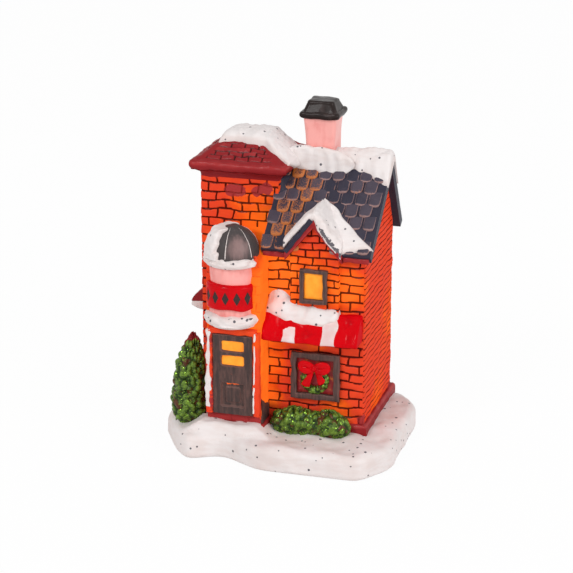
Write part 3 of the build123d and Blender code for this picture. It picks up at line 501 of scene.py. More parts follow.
def glaze(name, coat, coat_rough, specular, glow=0.0):
    """A material under a clear coat, with its specular level and how strongly it glows."""
    return Paint(name, {
        "Coat Weight": coat, "Coat Roughness": coat_rough, "Specular IOR Level": specular,
        "Emission Strength": glow})


def brick_finish(colours):
    """Translucent orange glaze: bricks differ in tone, joints and stains are dark, lamp light shows."""
    paint = glaze("brick_glaze", coat=0.05, coat_rough=0.15, specular=0.0, glow=0.5)
    joint, tone, glow, stain = (paint.mark(name) for name in ("joint", "tone", "glow", "stain"))
    cloud = paint.noise(4.0 * mm, 3.0)
    fine = paint.noise(0.7 * mm, 2.0)
    lit = paint.fade(glow + 0.5 * (cloud - 0.5), 0.1, 0.95)
    body = paint.mix(paint.fade(tone + cloud, 0.5, 1.5), colours.brick_deep, colours.brick_light)
    body = paint.mix(paint.fade(lit, 0.0, 0.3), colours.coral, body)
    stained = paint.fade(stain + 0.9 * (cloud - 0.5) + 0.4 * (fine - 0.5), 0.42, 0.52)
    body = paint.mix(stained, body, colours.crimson_light)
    scored = paint.fade(joint + 0.4 * (fine - 0.5), 0.15, 0.65)
    shown = scored * (1 - 0.75 * stained)
    paint.set({
        "Base Color": paint.mix(shown, body, colours.joint),
        "Roughness": 0.32 + 0.25 * fine,
        "Emission Color": paint.mix(lit * (1 - 0.9 * shown) * (1 - 0.95 * stained), nothing, colours.ember),
    })
    paint.bump(cloud + 0.6 * fine, 0.1 * mm)
    return paint.material


def crimson_finish(colours):
    """Deep red glaze that runs thin on high places, with fine speckle; on the tower cornice's lip and tile
    faces the paler glaze also serves as painted highlight.
    """
    paint = glaze("crimson_glaze", coat=0.1, coat_rough=0.12, specular=0.03)
    cloud = paint.noise(3.0 * mm, 4.0)
    fine = paint.noise(0.5 * mm, 2.0)
    edge = paint.mark("edge")
    thin = paint.fade(edge + 0.9 * (cloud - 0.5), 0.25, 0.95)
    deep = paint.mix(0.8 * paint.fade(paint.mark("joint"), 0.2, 0.8), colours.crimson, colours.black)
    paint.set({
        "Base Color": paint.mix(thin, deep, colours.crimson_light),
        "Roughness": 0.3 + 0.3 * fine,
    })
    paint.bump(cloud + 0.4 * fine, 0.12 * mm)
    return paint.material


def slate_finish(colours):
    """Blue-black glaze: paler on the shingles, clay at their edges, and a golden wash on some, which also
    glows ember as painted lamp light.
    """
    paint = glaze("slate_glaze", coat=0.05, coat_rough=0.18, specular=0.15, glow=0.25)
    edge, tone, wash = (paint.mark(name) for name in ("edge", "tone", "wash"))
    cloud = paint.noise(2.4 * mm, 3.0)
    fine = paint.noise(0.45 * mm, 3.0)
    body = paint.mix(paint.fade(tone + 0.5 * (cloud - 0.5), 0.1, 0.8), colours.slate, colours.slate_light)
    wash_and_glow_share = paint.fade(wash + 0.8 * (fine - 0.5), 0.35, 0.75)
    body = paint.mix(wash_and_glow_share, body, colours.slate_wash)
    worn = paint.fade(edge + 0.5 * (fine - 0.5) + 0.4 * (cloud - 0.5), 0.6, 0.95)
    paint.set({
        "Base Color": paint.mix(worn, body, paint.mix(wash_and_glow_share, colours.slate_edge, colours.slate_wash)),
        "Roughness": 0.36 + 0.3 * fine,
        # The golden wash also glows ember: painted lamp light on shingles, which are no lamp
        "Emission Color": paint.mix(wash_and_glow_share * 0.35, nothing, colours.ember),
    })
    paint.bump(fine + cloud, 0.12 * mm)
    return paint.material


def snow_finish(colours):
    """Rough white slip: brush strokes, pinkish thin places, and dark pinholes; the pinkish grey on the
    blankets' tapering borders and the dormer snow's front and back faces is also painted shade.
    """
    paint = glaze("snow_slip", coat=0.08, coat_rough=0.3, specular=0.25)
    cloud = paint.noise(9.0 * mm, 3.0)
    stroke = paint.noise(1.1 * mm, 2.0, (4.0, 4.0, 1.0))
    fine = paint.noise(0.35 * mm, 2.0)
    # Snow shade where the thin mark is high: the pinkish tint of thin slip, and painted shade on sloping
    # borders and side faces
    thin = paint.fade(cloud + 0.5 * (stroke - 0.5) + 0.8 * paint.mark("thin"), 0.42, 0.95)
    body = paint.mix(thin, colours.snow, colours.snow_shade)
    pick = paint.part(paint.cells(2.6 * mm, "Color"), 0)
    reach = 0.07 + 0.1 * pick
    hole = (paint.cells(2.6 * mm, "Distance") < reach) * (pick > 0.3)
    gap = paint.fade(paint.mark("scrape") + 0.9 * (paint.noise(0.9 * mm, 3.0) - 0.5), 0.62, 0.72)
    dark = paint.math("MAXIMUM", hole, gap)
    paint.set({
        "Base Color": paint.mix(0.88 * dark, body, colours.slate),
        "Roughness": 0.52 + 0.25 * fine,
    })
    paint.bump(0.7 * stroke + 0.35 * fine - 0.8 * dark, 0.14 * mm)
    return paint.material


def pink_finish(colours):
    """Thin pink glaze, deeper where it gathers."""
    paint = glaze("pink_glaze", coat=0.25, coat_rough=0.1, specular=0.25)
    cloud = paint.noise(5.0 * mm, 3.0)
    streak = paint.noise(1.3 * mm, 2.0, (1.0, 1.0, 5.0))
    fine = paint.noise(0.4 * mm, 2.0)
    gather = paint.fade(cloud + 0.6 * (streak - 0.5) + paint.mark("edge"), 0.45, 1.0)
    body = paint.mix(gather, colours.pink, colours.pink_deep)
    paint.set({"Base Color": body, "Roughness": 0.32 + 0.2 * fine})
    paint.bump(streak + 0.4 * fine, 0.08 * mm)
    return paint.material


def black_finish(colours):
    """Glossy black-brown glaze with faint runs."""
    paint = glaze("cap_glaze", coat=0.06, coat_rough=0.04, specular=0.12)
    cloud = paint.noise(3.0 * mm, 3.0)
    fine = paint.noise(0.6 * mm, 2.0)
    paint.set({
        "Base Color": paint.mix(paint.fade(cloud, 0.5, 0.8), colours.black, colours.charcoal),
        "Roughness": 0.24 + 0.18 * fine,
    })
    paint.bump(cloud + 0.25 * fine, 0.1 * mm)
    return paint.material


def dome_finish(colours):
    """Dark grey glaze worn pale on the swellings, in upright strokes."""
    paint = glaze("dome_glaze", coat=0.08, coat_rough=0.15, specular=0.15)
    stroke = paint.noise(1.0 * mm, 3.0, (1.0, 1.0, 5.0))
    fine = paint.noise(0.35 * mm, 2.0)
    worn = paint.fade(paint.mark("edge") + 0.7 * (stroke - 0.5), 0.1, 1.0)
    body = paint.mix(worn, colours.dome, colours.dome_worn)
    rib = paint.fade(paint.mark("rib") + 0.5 * (fine - 0.5), 0.55, 0.9)
    paint.set({
        "Base Color": paint.mix(rib, body, colours.snow_shade),
        "Roughness": 0.3 + 0.25 * fine,
    })
    paint.bump(stroke + 0.4 * fine, 0.1 * mm)
    return paint.material


def red_finish(colours):
    """Bright red paint; marks on it are pressed dark."""
    paint = glaze("red_paint", coat=0.1, coat_rough=0.08, specular=0.02)
    cloud = paint.noise(3.0 * mm, 3.0)
    fine = paint.noise(0.5 * mm, 2.0)
    body = paint.mix(paint.fade(cloud, 0.4, 0.9), colours.red, colours.red_deep)
    dark = paint.fade(paint.mark("dark") + 0.5 * (fine - 0.5), 0.4, 0.6)
    paint.set({"Base Color": paint.mix(dark, body, colours.charcoal), "Roughness": 0.26 + 0.2 * fine})
    paint.bump(cloud + 0.3 * fine, 0.08 * mm)
    return paint.material


def awning_finish(colours):
    """Red paint with hand-painted white bands, told apart by a mark on the mesh."""
    paint = glaze("awning_paint", coat=0.06, coat_rough=0.08, specular=0.0)
    cloud = paint.noise(3.0 * mm, 3.0)
    fine = paint.noise(0.6 * mm, 2.0)
    band = paint.fade(paint.mark("band") + 0.25 * (fine - 0.5), 0.42, 0.58)
    red = paint.mix(paint.fade(cloud, 0.5, 0.9), colours.red, colours.red_deep)
    white = paint.mix(paint.fade(cloud, 0.4, 0.8), colours.cream, colours.snow)
    paint.set({"Base Color": paint.mix(band, red, white), "Roughness": 0.28 + 0.2 * fine})
    paint.bump(cloud + 0.3 * fine, 0.08 * mm)
    return paint.material


def joinery_finish(colours):
    """Charcoal glaze brushed along the grain, with bare orange scratches that also glow ember as painted lamp
    light.
    """
    paint = glaze("joinery_charcoal", coat=0.06, coat_rough=0.15, specular=0.15, glow=0.3)
    grain = paint.noise(0.9 * mm, 3.0, (1.0, 1.0, 7.0))
    fine = paint.noise(0.35 * mm, 2.0)
    body = paint.mix(
        paint.fade(grain + 0.4 * paint.mark("edge"), 0.35, 0.85), colours.charcoal, colours.charcoal_light)
    scratch = paint.fade(paint.mark("scratch") + 0.9 * (grain - 0.5) + 0.5 * (fine - 0.5), 0.62, 0.8)
    paint.set({
        "Base Color": paint.mix(scratch, body, colours.brick_light),
        "Roughness": 0.36 + 0.25 * fine,
        # Scratches glow ember: painted lamp light on joinery, which is no lamp
        "Emission Color": paint.mix(scratch, nothing, colours.ember),
    })
    paint.bump(grain + 0.4 * fine, 0.1 * mm)
    return paint.material


def pane_finish(colours, name, strength, depth):
    """Amber pane lit from behind; depth darkens it towards crimson, painted shade inside the window."""
    paint = glaze(name, coat=0.1, coat_rough=0.06, specular=0.15, glow=strength)
    cloud = paint.noise(2.6 * mm, 3.0)
    fine = paint.noise(0.5 * mm, 2.0)
    body = paint.mix(paint.fade(cloud, 0.3, 0.8), colours.amber, colours.ember)
    # Crimson where cloud and depth are high: painted shade behind the pane
    body = paint.mix(paint.fade(cloud + depth, 0.45, 1.0), body, colours.crimson)
    paint.set({"Base Color": body, "Emission Color": body, "Roughness": 0.24 + 0.12 * fine})
    paint.bump(cloud, 0.1 * mm)
    return paint.material


def leaf_finish(colours):
    """Green paint full of metal flake: small cells catch the light, brown patches and a bare tip show; the
    tufts' crowns are painted lighter and the hollows between them darker, as painted highlight and shade.
    """
    paint = glaze("leaf_glitter", coat=0.1, coat_rough=0.1, specular=0.2)
    flake = paint.part(paint.cells(0.5 * mm, "Color"), 0)
    tilt = paint.part(paint.cells(0.5 * mm, "Color"), 1)
    cloud = paint.noise(3.2 * mm, 3.0)
    tuft, tone = paint.mark("tuft"), paint.mark("tone")
    # Tuft crowns bright, hollows deep: painted highlight and painted shade on the leaves
    green = paint.mix(paint.fade(tuft + 0.5 * (flake - 0.5), 0.2, 1.1), colours.leaf, colours.leaf_highlight_and_glitter)
    brown = paint.fade(cloud + 0.35 * (tone - 0.5), 0.6, 0.7)
    bare = paint.fade(paint.mark("bare") + 0.5 * (cloud - 0.5), 0.4, 0.6)
    spark = (flake > 0.86) * (1 - bare)
    body = paint.mix(brown * (1 - spark), green, colours.twig)
    body = paint.mix(bare, body, colours.crimson)
    paint.set({
        "Base Color": paint.mix(0.8 * spark, body, colours.leaf_highlight_and_glitter),
        "Metallic": 0.1 + 0.75 * spark,
        "Roughness": 0.42 - 0.2 * spark,
    })
    paint.bump(tilt, 0.22 * mm)
    return paint.material


def amber_finish(colours):
    """Bright pane of the door and the dormer's window."""
    return pane_finish(colours, "amber_pane", 0.32, -0.2)


def shaded_shop_finish(colours):
    """Dim pane of the shop window, mostly crimson: painted shade inside the window behind the pane."""
    return pane_finish(colours, "shop_pane_shaded", 0.12, 0.5)


def plain_finish(name, body, accent, size, constants):
    """Moulded or plated surface: two close tones in fine clouds, with a matching grain."""
    paint = Paint(name, constants)
    cloud = paint.noise(size, 3.0)
    fine = paint.noise(size / 8, 2.0)
    paint.set({
        "Base Color": paint.mix(paint.fade(cloud, 0.35, 0.7), body, accent),
        "Roughness": constants["Roughness"] + 0.15 * (fine - 0.5),
    })
    paint.bump(fine, 0.03 * mm)
    return paint.material


# Brickwork

# Places where lamp light comes through the glaze: x, y, z, reach, strength
glow_spots = np.array([
    (-3.6, -14, 54, 8, 1.0), (-3.6, -14, 40, 5, 1.2), (-3.6, -14, 28, 5, 1.2), (-3.6, -14, 18, 5, 1.2),
    (-14, 2, 74, 9, 0.45), (-6, 2, 67, 7, 0.9), (-24, 2, 62, 7, 0.3), (22, -10, 54, 6, 1.0),
    (12, -10, 40, 6, 0.7), (18, -10, 14, 7, 0.5), (-1, -10, 60, 6, 1.0), (11, -12, 60, 9, 0.45),
    (27, 8, 14, 8, 0.5), (27, 25, 36, 14, 0.45), (-12.4, -18, 40, 14, 0.8), (-3.6, 8, 82, 6, 0.6),
])
# Places where crimson glaze ran down over the bricks: x, y, z, reach, strength
stain_spots = np.array([
    (-19.5, 2, 79.2, 1.9, 1.0), (-16.3, 2, 79.6, 1.9, 1.0), (-11, 2, 79.7, 1.7, 1.0),
    (-7.5, 2, 80.8, 1.9, 1.0), (-20, -18, 11.5, 3, 1.0), (-15, -18, 11.2, 3, 1.0), (-10, -18, 10.8, 3, 1.0),
    (-5, -18, 10, 3, 1.0), (26, -10, 12, 2.6, 0.7), (26.8, 25, 11, 3, 0.7), (-29.2, 15, 80, 4, 0.8),
    (10, 27, 62, 4, 0.7), (-16, 27, 80, 4, 0.8), (-4.6, -10, 13, 2.4, 0.6),
])


def spots(points, table):
    """Sum of round bumps: each fades as the exponential of minus the squared distance over its reach."""
    places = table[:, :3] * mm
    reach, strength = table[:, 3] * mm, table[:, 4]
    gap = np.linalg.norm(points[..., None, :] - places, axis=-1) / reach
    return (strength * np.exp(-gap * gap)).sum(axis=-1)


def joint_lines(length, pitch, joint):
    """Grid lines along a wall: four across each joint, and three over the brick between two joints."""
    middles = np.arange(0, length + pitch, pitch)
    offsets = np.concatenate([np.array([-0.5, -0.22, 0.22, 0.5]) * joint, pitch * np.array([0.3, 0.5, 0.7])])
    lines = (middles[:, None] + offsets).ravel()
    inside = lines[(lines > 0.02 * mm) & (lines < length - 0.02 * mm)]
    return np.unique(np.concatenate([[0.0], inside, [length]]))


def brick_relief(u, v, length, course, joint, gaps, seed):
    """Running bond: groove depth from 0 to 1 at the nearest joint, and a random tone for each brick.

    A share of the upright joints, given by gaps, is left unscored.
    """
    source = np.random.default_rng(seed)
    repeat = pattern_repeat
    tones = source.uniform(0, 1, (repeat, repeat))
    scored = source.uniform(0, 1, (repeat, repeat)) > gaps
    row = np.floor(v / course).astype(int)
    slid = u / length + 0.5 * (row % 2)
    column = np.floor(slid).astype(int)
    nearest = np.round(slid).astype(int)
    bed = np.abs(v / course - np.round(v / course)) * course
    upright = np.abs(slid - nearest) * length
    level_groove = 1 - smooth(bed, 0.18 * joint, 0.5 * joint)
    upright_groove = 1 - smooth(upright, 0.18 * joint, 0.5 * joint)
    groove = np.maximum(level_groove, scored[row % repeat, nearest % repeat] * upright_groove)
    return groove, tones[row % repeat, column % repeat]


def corner_drop(gap, radius):
    """Fall of a quarter-round edge at a distance from the corner line."""
    reach = radius - np.minimum(gap, radius)
    return radius - np.sqrt(radius * radius - reach * reach)


# Direction of each wall along its foot, from left to right as seen from outside
along_wall = {"front": (1, 0, 0), "right": (0, 1, 0), "back": (-1, 0, 0), "left": (0, -1, 0)}
corner_round = 0.9 * mm


def panel(start, facing, width, height, sizes, seed, length, course, gaps=0.12, ends="cc", top=None,
          thick=wall, depth=1.0, narrow=1.0, ink=0.0):
    """One wall face as a closed sheet: a height field over width and height, moved out by the bricks' relief.

    Ends are c for an outside corner, mitred and rounded, or b for one that butts on another wall.
    A top function of the distance along cuts the panel's upper edge. Ink keeps shallow joints dark.
    """
    along = np.array(along_wall[facing], float)
    out = np.array([along[1], -along[0], 0.0])
    trim = corner_round * (1 - 0.5 ** 0.5)
    low = trim if ends[0] == "c" else 0.0
    high = width - (trim if ends[1] == "c" else 0.0)
    joint = narrow * sizes.joint_width
    u = np.clip(joint_lines(width, length / 2, joint), low, high)
    v = joint_lines(height, course, joint)
    u, v = grid(np.unique(u), v)
    if top is not None:
        v = np.minimum(v, top(u))
    flat = np.array(start) + along * u[..., None] + upward * v[..., None]
    sway = 0.16 * mm * ripples(flat, 7 * mm, seed), 0.2 * narrow * mm * ripples(flat, 9 * mm, seed + 1)
    groove, tone = brick_relief(u + sway[0], v + sway[1], length, course, joint, gaps, seed)
    lift = 0.1 * mm * ripples(flat, 5 * mm, seed + 2) - depth * sizes.joint_depth * groove
    lift = lift + 0.12 * mm * (tone - 0.5)
    inner = np.clip(u, wall if ends[0] == "c" else 0.0, width - (wall if ends[1] == "c" else 0.0))
    for end, gap in zip(ends, (u, width - u)):
        if end == "c":
            lift = lift - corner_drop(gap, corner_round)
    front = flat + out * lift[..., None]
    back = flat + along * (inner - u)[..., None] - out * thick
    return slab(
        front, back, joint=groove * max(depth, ink), tone=tone, glow=spots(flat, glow_spots),
        stain=spots(flat, stain_spots))


def wall_panels(sizes):
    """All the house walls: bay, main front, gabled right side, back, and the four sides of the tower."""
    usual = {"length": sizes.brick_length, "course": sizes.brick_course}
    long = {"length": 1.2 * sizes.brick_length}
    foot = ground - 0.6 * mm
    bay_tall, tower_tall = bay_spring - foot, tower_top - foot
    main_width, tower_width = house_right - main_left, main_left - tower_left
    house_deep, tower_deep = house_back - house_front, house_back - tower_front
    arch = lambda u: bay_tall + np.sqrt(np.maximum(bay_half ** 2 - (u - bay_half) ** 2, 0))
    eaves = lambda u: np.minimum(
        front_wall_top - foot + u * tan(front_pitch), back_wall_top - foot + (house_deep - u) * back_rise)
    bay = {"gaps": 0.5, "top": arch, "depth": 0.35}
    bay_side = {"gaps": 1.0, "ends": "cb", "depth": 0.22}
    side = {"course": sizes.side_course, "gaps": 1.0, "top": eaves, "depth": 0.3, "narrow": 0.6, "ink": 0.8}
    walls = (
        (bay_left, bay_front, foot, "front", main_left - bay_left, bay_tall + bay_half, 3, bay),
        (main_left, bay_front, foot, "right", house_front - bay_front, bay_tall, 5, bay_side),
        (bay_left, tower_front, foot, "left", tower_front - bay_front, bay_tall, 7,
         {"gaps": 0.2, "ends": "bc"}),
        (main_left, house_front, foot, "front", main_width, front_wall_top - foot, 11,
         {**long, "ends": "bc"}),
        (house_right, house_front, foot, "right", house_deep, ridge_under - foot, 13, side),
        (house_right, house_back, foot, "back", main_width, back_wall_top - foot, 17,
         {**long, "gaps": 0.15, "ends": "cb"}),
        (main_left, house_back, foot, "back", tower_width, tower_tall, 19, {}),
        (tower_left, house_back, foot, "left", tower_deep, tower_tall, 23, {"gaps": 0.15}),
        (tower_left, tower_front, foot, "front", tower_width, tower_tall, 29, {"gaps": 0.1}),
        (main_left, tower_front, front_wall_top, "right", tower_deep, tower_top - front_wall_top, 31,
         {"gaps": 0.15}),
    )
    return [
        panel((x, y, z), facing, width, height, sizes, seed, **{**usual, **more})
        for x, y, z, facing, width, height, seed, more in walls
    ]


def bay_barrel():
    """Round top of the bay: a half cylinder from the bay's face back to the tower, with a soft front edge."""
    turn, share = grid(np.linspace(0, pi, 49), np.linspace(0, 1, 25))
    y = bay_front + share * (tower_front - bay_front)
    drop = corner_drop(y - bay_front, corner_round)
    rough = 0.12 * mm * ripples(spread(turn * bay_half, y, 0 * y), 4 * mm, 37)
    outer = bay_half - drop + rough
    place = lambda radius: spread(bay_mid - radius * np.cos(turn), y, bay_spring + radius * np.sin(turn))
    front, back = place(outer), place(bay_half - wall)
    tone = 0.5 + 0.3 * ripples(front, 6 * mm, 38)
    return slab(front, back, tone=tone, joint=0.0 * y, glow=spots(front, glow_spots), stain=0.0 * y)


def mitred(outline, out):
    """Corners of a closed outline moved out square to both of their sides."""
    ahead = np.roll(outline, -1, axis=0) - outline
    ahead /= np.linalg.norm(ahead, axis=1)[:, None]
    normal = np.stack([ahead[:, 1], -ahead[:, 0]], axis=1)
    before = np.roll(normal, 1, axis=0)
    share = 1 + (normal * before).sum(axis=1)
    return outline + out * (normal + before) / share[:, None]


def plinth_ring():
    """Skirt round the foot of the walls: a rounded strip carried round the plan, mitred at the corners."""
    plan = np.array([
        (bay_left, bay_front), (main_left, bay_front), (main_left, house_front), (house_right, house_front),
        (house_right, house_back), (tower_left, house_back), (tower_left, tower_front),
        (bay_left, tower_front),
    ])
    profile = np.array([(-0.4, -0.6), (1.25, -0.6), (1.25, 1.6), (1.05, 2.4), (0.6, 2.9), (-0.4, 3.0)]) * mm
    shares = np.linspace(0, 1, 28)[:-1]
    loops = []
    for out, up in profile:
        sides = along_sides(mitred(plan, out), shares)
        loops.append(np.column_stack([sides, np.full(len(sides), ground + up)]))
    loops = np.array(loops)
    swell = 0.15 * mm * ripples(loops, 6 * mm, 41)
    loops = loops + swell[..., None] * np.array([0.4, 0.4, 1.0])
    return ring(loops, edge=np.array([0, 0, 0.2, 0.8, 0.6, 0.2])[:, None])


# Main roof


def slope_points(x, distance, lift, back=False):
    """Points on a roof slope: so far up from the eave, lifted square to it."""
    start, up, out = (back_eave_top, back_up, back_out) if back else (front_eave_top, front_up, front_out)
    flat = start + distance[..., None] * up + lift[..., None] * out
    return spread(x, flat[..., 0], flat[..., 1])


def roof_deck():
    """Bent slab under the shingles: two slopes that meet at the ridge, notched over the dormer.

    Its left edge coves up to the cornice where the slope runs into the tower's wall.
    """
    edge = 0.02 * mm
    left, right = dormer_x - dormer_eave_half, dormer_x + dormer_eave_half
    x = np.concatenate([
        np.linspace(roof_left, left, 18), np.linspace(left + edge, right - edge, 14),
        np.linspace(right, roof_right, 8),
    ])
    notch = (house_front - front_eave_top[0]) / front_up[0]
    start = np.where(np.abs(x - dormer_x) < dormer_eave_half - edge / 2, notch, 0.0)
    count = 36
    across, along = grid(x, np.linspace(0, 1, count))
    front = slope_points(across, start[:, None] + (slope_lengths[0] - start[:, None]) * along, 0 * along)
    back = slope_points(across, slope_lengths[1] * (1 - along), 0 * along, True)
    top = np.concatenate([front, back[:, 1:]], axis=1)
    under = top.copy()
    top = top + 0.12 * mm * ripples(top, 6 * mm, 43)[..., None] * upward
    cove = 4.6 * mm * np.clip(1 - (top[..., 0] - main_left) / (2.6 * mm), 0, 1) ** 2
    cove = cove * smooth(top[..., 1], tower_front - 0.5 * mm, tower_front + 3.0 * mm)
    top[..., 2] = np.maximum(top[..., 2], np.minimum(top[..., 2] + cove, tower_top + 0.5 * mm))
    thick = np.concatenate([np.tile(front_out, (count, 1)), np.tile(back_out, (count - 1, 1))]) * roof_thick
    thick[count - 1] = ridge_top - np.array([ridge_y, ridge_under])
    under[..., 1:] -= thick
    zero = np.zeros(top.shape[:2])
    return slab(top, under, edge=zero, tone=zero, wash=zero)


def shingles(sizes, rows, back, seed):
    """Rows of clipped shingles half a tile apart: sheets thick at the lower edge and rounded across."""
    source = np.random.default_rng(seed)
    pitch_x, pitch_y = sizes.tile_width + 0.6 * mm, 4.4 * mm
    margin = 0.5 * mm
    left = roof_left + 0.4 * mm
    columns = int((roof_right - left) / pitch_x) + 1
    row, column = (axis.ravel() for axis in grid(np.arange(rows), np.arange(columns)))
    middle = left + (column + 0.5 + 0.5 * (row % 2)) * pitch_x - 0.25 * pitch_x
    foot = margin + row * pitch_y
    slope = slope_points(middle, foot + sizes.tile_length / 2, 0 * foot, back)
    dormer_line = dormer_peak + dormer_roof_up - np.abs(middle - dormer_x) * dormer_rise
    shown = (middle < roof_right - 0.45 * pitch_x) & (middle > roof_left + 0.3 * pitch_x)
    if not back:
        beside = np.abs(middle - dormer_x) > dormer_eave_half + 0.5 * mm
        shown &= (slope[:, 2] > dormer_line - 1.5 * mm) | beside
    middle, foot = middle[shown], foot[shown]
    count = len(middle)
    jitter = source.normal(0, 1, (7, count, 1, 1))
    lines = np.array([-1, -0.93, -0.7, -0.35, 0, 0.35, 0.7, 0.93, 1])
    t, a = grid(np.array([0, 0.04, 0.12, 0.25, 0.45, 0.7, 1.0]), lines)
    half = sizes.tile_width / 2 * (1 - 0.42 * (1 - smooth(t, -0.2, 0.34)) ** 1.5)
    turn = 0.025 * jitter[0]
    wide = half * (1 + 0.03 * jitter[1]) * a
    long = sizes.tile_length * (1 + 0.03 * jitter[2]) * (t + 0.05 * (a * a) * (1 - t)) + 0.15 * mm * jitter[3]
    thick = sizes.tile_thick * (1 + 0.22 * jitter[4]) * (1 - 0.72 * t)
    rounded = np.minimum(1 - a ** 6 * 0.65, 0.25 + 0.75 * smooth(t, -0.02, 0.1))
    x = middle[:, None, None] + wide - turn * long
    up = foot[:, None, None] + long + turn * wide
    lumps = 0.07 * mm * ripples(spread(x, up, 0 * x), 2.2 * mm, seed + 1)
    front = slope_points(x, up, np.maximum(thick * rounded, 0.12 * mm) + lumps, back)
    under = slope_points(x, up, np.full_like(x, -0.5 * mm), back)
    rim = np.maximum(np.abs(a) ** 5, 1 - smooth(t, 0.02, 0.2))
    tone = np.clip(0.55 + 0.25 * jitter[5], 0, 1) + 0 * x
    # Golden wash strongest near the tower; the slate glaze also paints it glowing
    golden = np.exp(-(((middle - roof_left - 7 * mm) / (8 * mm)) ** 2)) * (0.78 if not back else 0.2)
    wash = np.clip(golden[:, None, None] + 0.14 * jitter[6], 0, 1) * (0.55 + 0.5 * rim) + 0 * x
    return slabs(front, under, edge=rim + 0 * x, tone=tone, wash=wash)


def laid_snow(line, lift, ends, seed, lumps, sink=0.5 * mm, power=4.0, **marks):
    """A blanket over a grid of points: its thickness falls to nothing at the borders as a flattened oval.

    Line gives the grid and lift its full thickness as vectors; ends names the shares where each border lies.
    """
    rows, columns = ends
    oval = np.clip(1 - np.abs(rows) ** power, 0, 1) ** 0.5
    oval = oval * np.clip(1 - np.abs(columns) ** power, 0, 1) ** 0.5
    size = np.linalg.norm(lift, axis=-1, keepdims=True)
    out = lift / np.maximum(size, 1e-9)
    swell = lumps * (ripples(line, 5 * mm, seed) + 0.5 * ripples(line, 2.1 * mm, seed + 1))
    front = line + lift * oval[..., None] + out * (swell * oval ** 0.5)[..., None]
    # Thin towards the borders, which tints them pinkish and paints shade on their slopes
    return slab(front, line - out * sink, thin=1 - smooth(oval, 0.0, 0.75), **marks)


def ridge_snow(sizes):
    """Snow along the ridge: an arch from a lip on the front slope over the ridge to a lip on the back slope.

    Its lower edges are ragged.
    """
    x, c = grid(np.linspace(main_left - 1.5 * mm, roof_right + 0.5 * mm, 110), np.linspace(-1, 1, 49))
    stations = np.array([-4.3, -0.6, 4.4, 8.8, 16.8, 21.2, 24.7, 29.8]) * mm
    reach = np.interp(x, stations, np.array([3.2, 4.6, 5.4, 5.9, 6.1, 6.8, 8.7, 10.6]) * mm)
    behind = np.interp(x, stations, np.array([7.0, 7.0, 7.5, 8.0, 8.0, 8.2, 9.0, 10.5]) * mm)
    ragged = 0.4 * mm * ripples(spread(x, 0 * x, np.sign(c) * 5 * mm), 6 * mm, 47)
    ragged = ragged + 0.3 * mm * ripples(spread(x, 0 * x, np.sign(c) * 3 * mm), 2.5 * mm, 48)
    q = np.where(c < 0, c * (reach + ragged), c * (behind + ragged))
    q = q[..., None]
    flat = np.where(q < 0, ridge_top + q * front_up, ridge_top - q * back_up)
    low = np.where(c < 0, flat[:, :1, 1] + 1.5 * mm, flat[:, -1:, 1] + 2.2 * mm)
    crown = ridge_top[1] + np.interp(x, np.array([-4, 13, 25, 30]) * mm, np.array([2.4, 2.4, 3.0, 2.4]) * mm)
    arch = crown - (crown - low) * np.abs(c) ** 1.8
    line = spread(x, flat[..., 0], flat[..., 1])
    lift = spread(0 * x, 0 * x, np.maximum(arch - flat[..., 1], 0.8 * mm))
    rows = np.maximum(2 * (x - x.min()) / (x.max() - x.min()) - 1, 0) ** 6
    return laid_snow(line, lift, (rows, c), 49, sizes.snow_lumps, power=8.0, scrape=0.0 * x)


def eave_boards():
    """Crimson boards under the front eave, one each side of the dormer."""
    ends = ((roof_left + 0.6 * mm, dormer_x - dormer_eave_half - 0.3 * mm),
            (dormer_x + dormer_eave_half + 0.2 * mm, roof_right - 0.5 * mm))
    y, z = front_eave[0] - 0.7 * mm, front_eave[1] + 0.6 * mm
    return [
        face_bar((left, y, z), (right, y, z), 0.8 * mm, 0.8 * mm, 50, 0.12 * mm, edge=0.6)
        for left, right in ends
    ]


# Tower roof and chimney

stack_low, stack_high = box("chimney_stack")
cap_low, cap_high = box("chimney_cap")
stack_mid = (stack_low + stack_high)[:2] / 2
tower_mid = np.array([(tower_left + main_left) / 2, (tower_front + house_back) / 2])
tower_half = np.array([(main_left - tower_left) / 2, (house_back - tower_front) / 2])
cornice_out, cornice_back = 3.0 * mm, 2.0 * mm
lip_mid = tower_mid + np.array([0, (cornice_back - cornice_out) / 2])
lip_half = tower_half + np.array([cornice_out, (cornice_out + cornice_back) / 2])
lip_bottom = tower_top + 2.0 * mm
lip_top = lip_bottom + 3.4 * mm
hip_top = tower_top + 10.2 * mm
hip_inset = 8.2 * mm


def rounded_loops(rows, corner, per_side=24):
    """A stack of level loops from rows of middle, half sizes and height."""
    return np.array([
        rectangle_loop(middle, *half, height, corner, per_side) for middle, half, height in rows])


def cornice_rows():
    """Rows of the tower roof: a hollow flare, a round lip, and the hip in even steps."""
    rows = [(tower_mid, tower_half - 0.5 * mm, tower_top - 0.8 * mm)]
    for share in np.linspace(0, 1, 7):
        out = 1 - (1 - share ** 2) ** 0.5
        middle = tower_mid + (lip_mid - tower_mid) * out
        half = tower_half + (lip_half - 0.5 * mm - tower_half) * out
        rows.append((middle, half, tower_top + share * (lip_bottom + 0.4 * mm - tower_top)))
    deep = (lip_top - lip_bottom - 0.4 * mm) / 2
    for turn in np.linspace(-0.42 * pi, 0.5 * pi, 11):
        inset = 1.1 * mm * (1 - cos(turn))
        rows.append((lip_mid, lip_half - inset, (lip_bottom + lip_top + 0.4 * mm) / 2 + deep * sin(turn)))
    for share in np.linspace(0.02, 1, 40):
        inset = 1.3 * mm + share * (hip_inset - 1.3 * mm)
        rows.append((lip_mid, lip_half - inset, lip_top + share * (hip_top - lip_top)))
    return rows


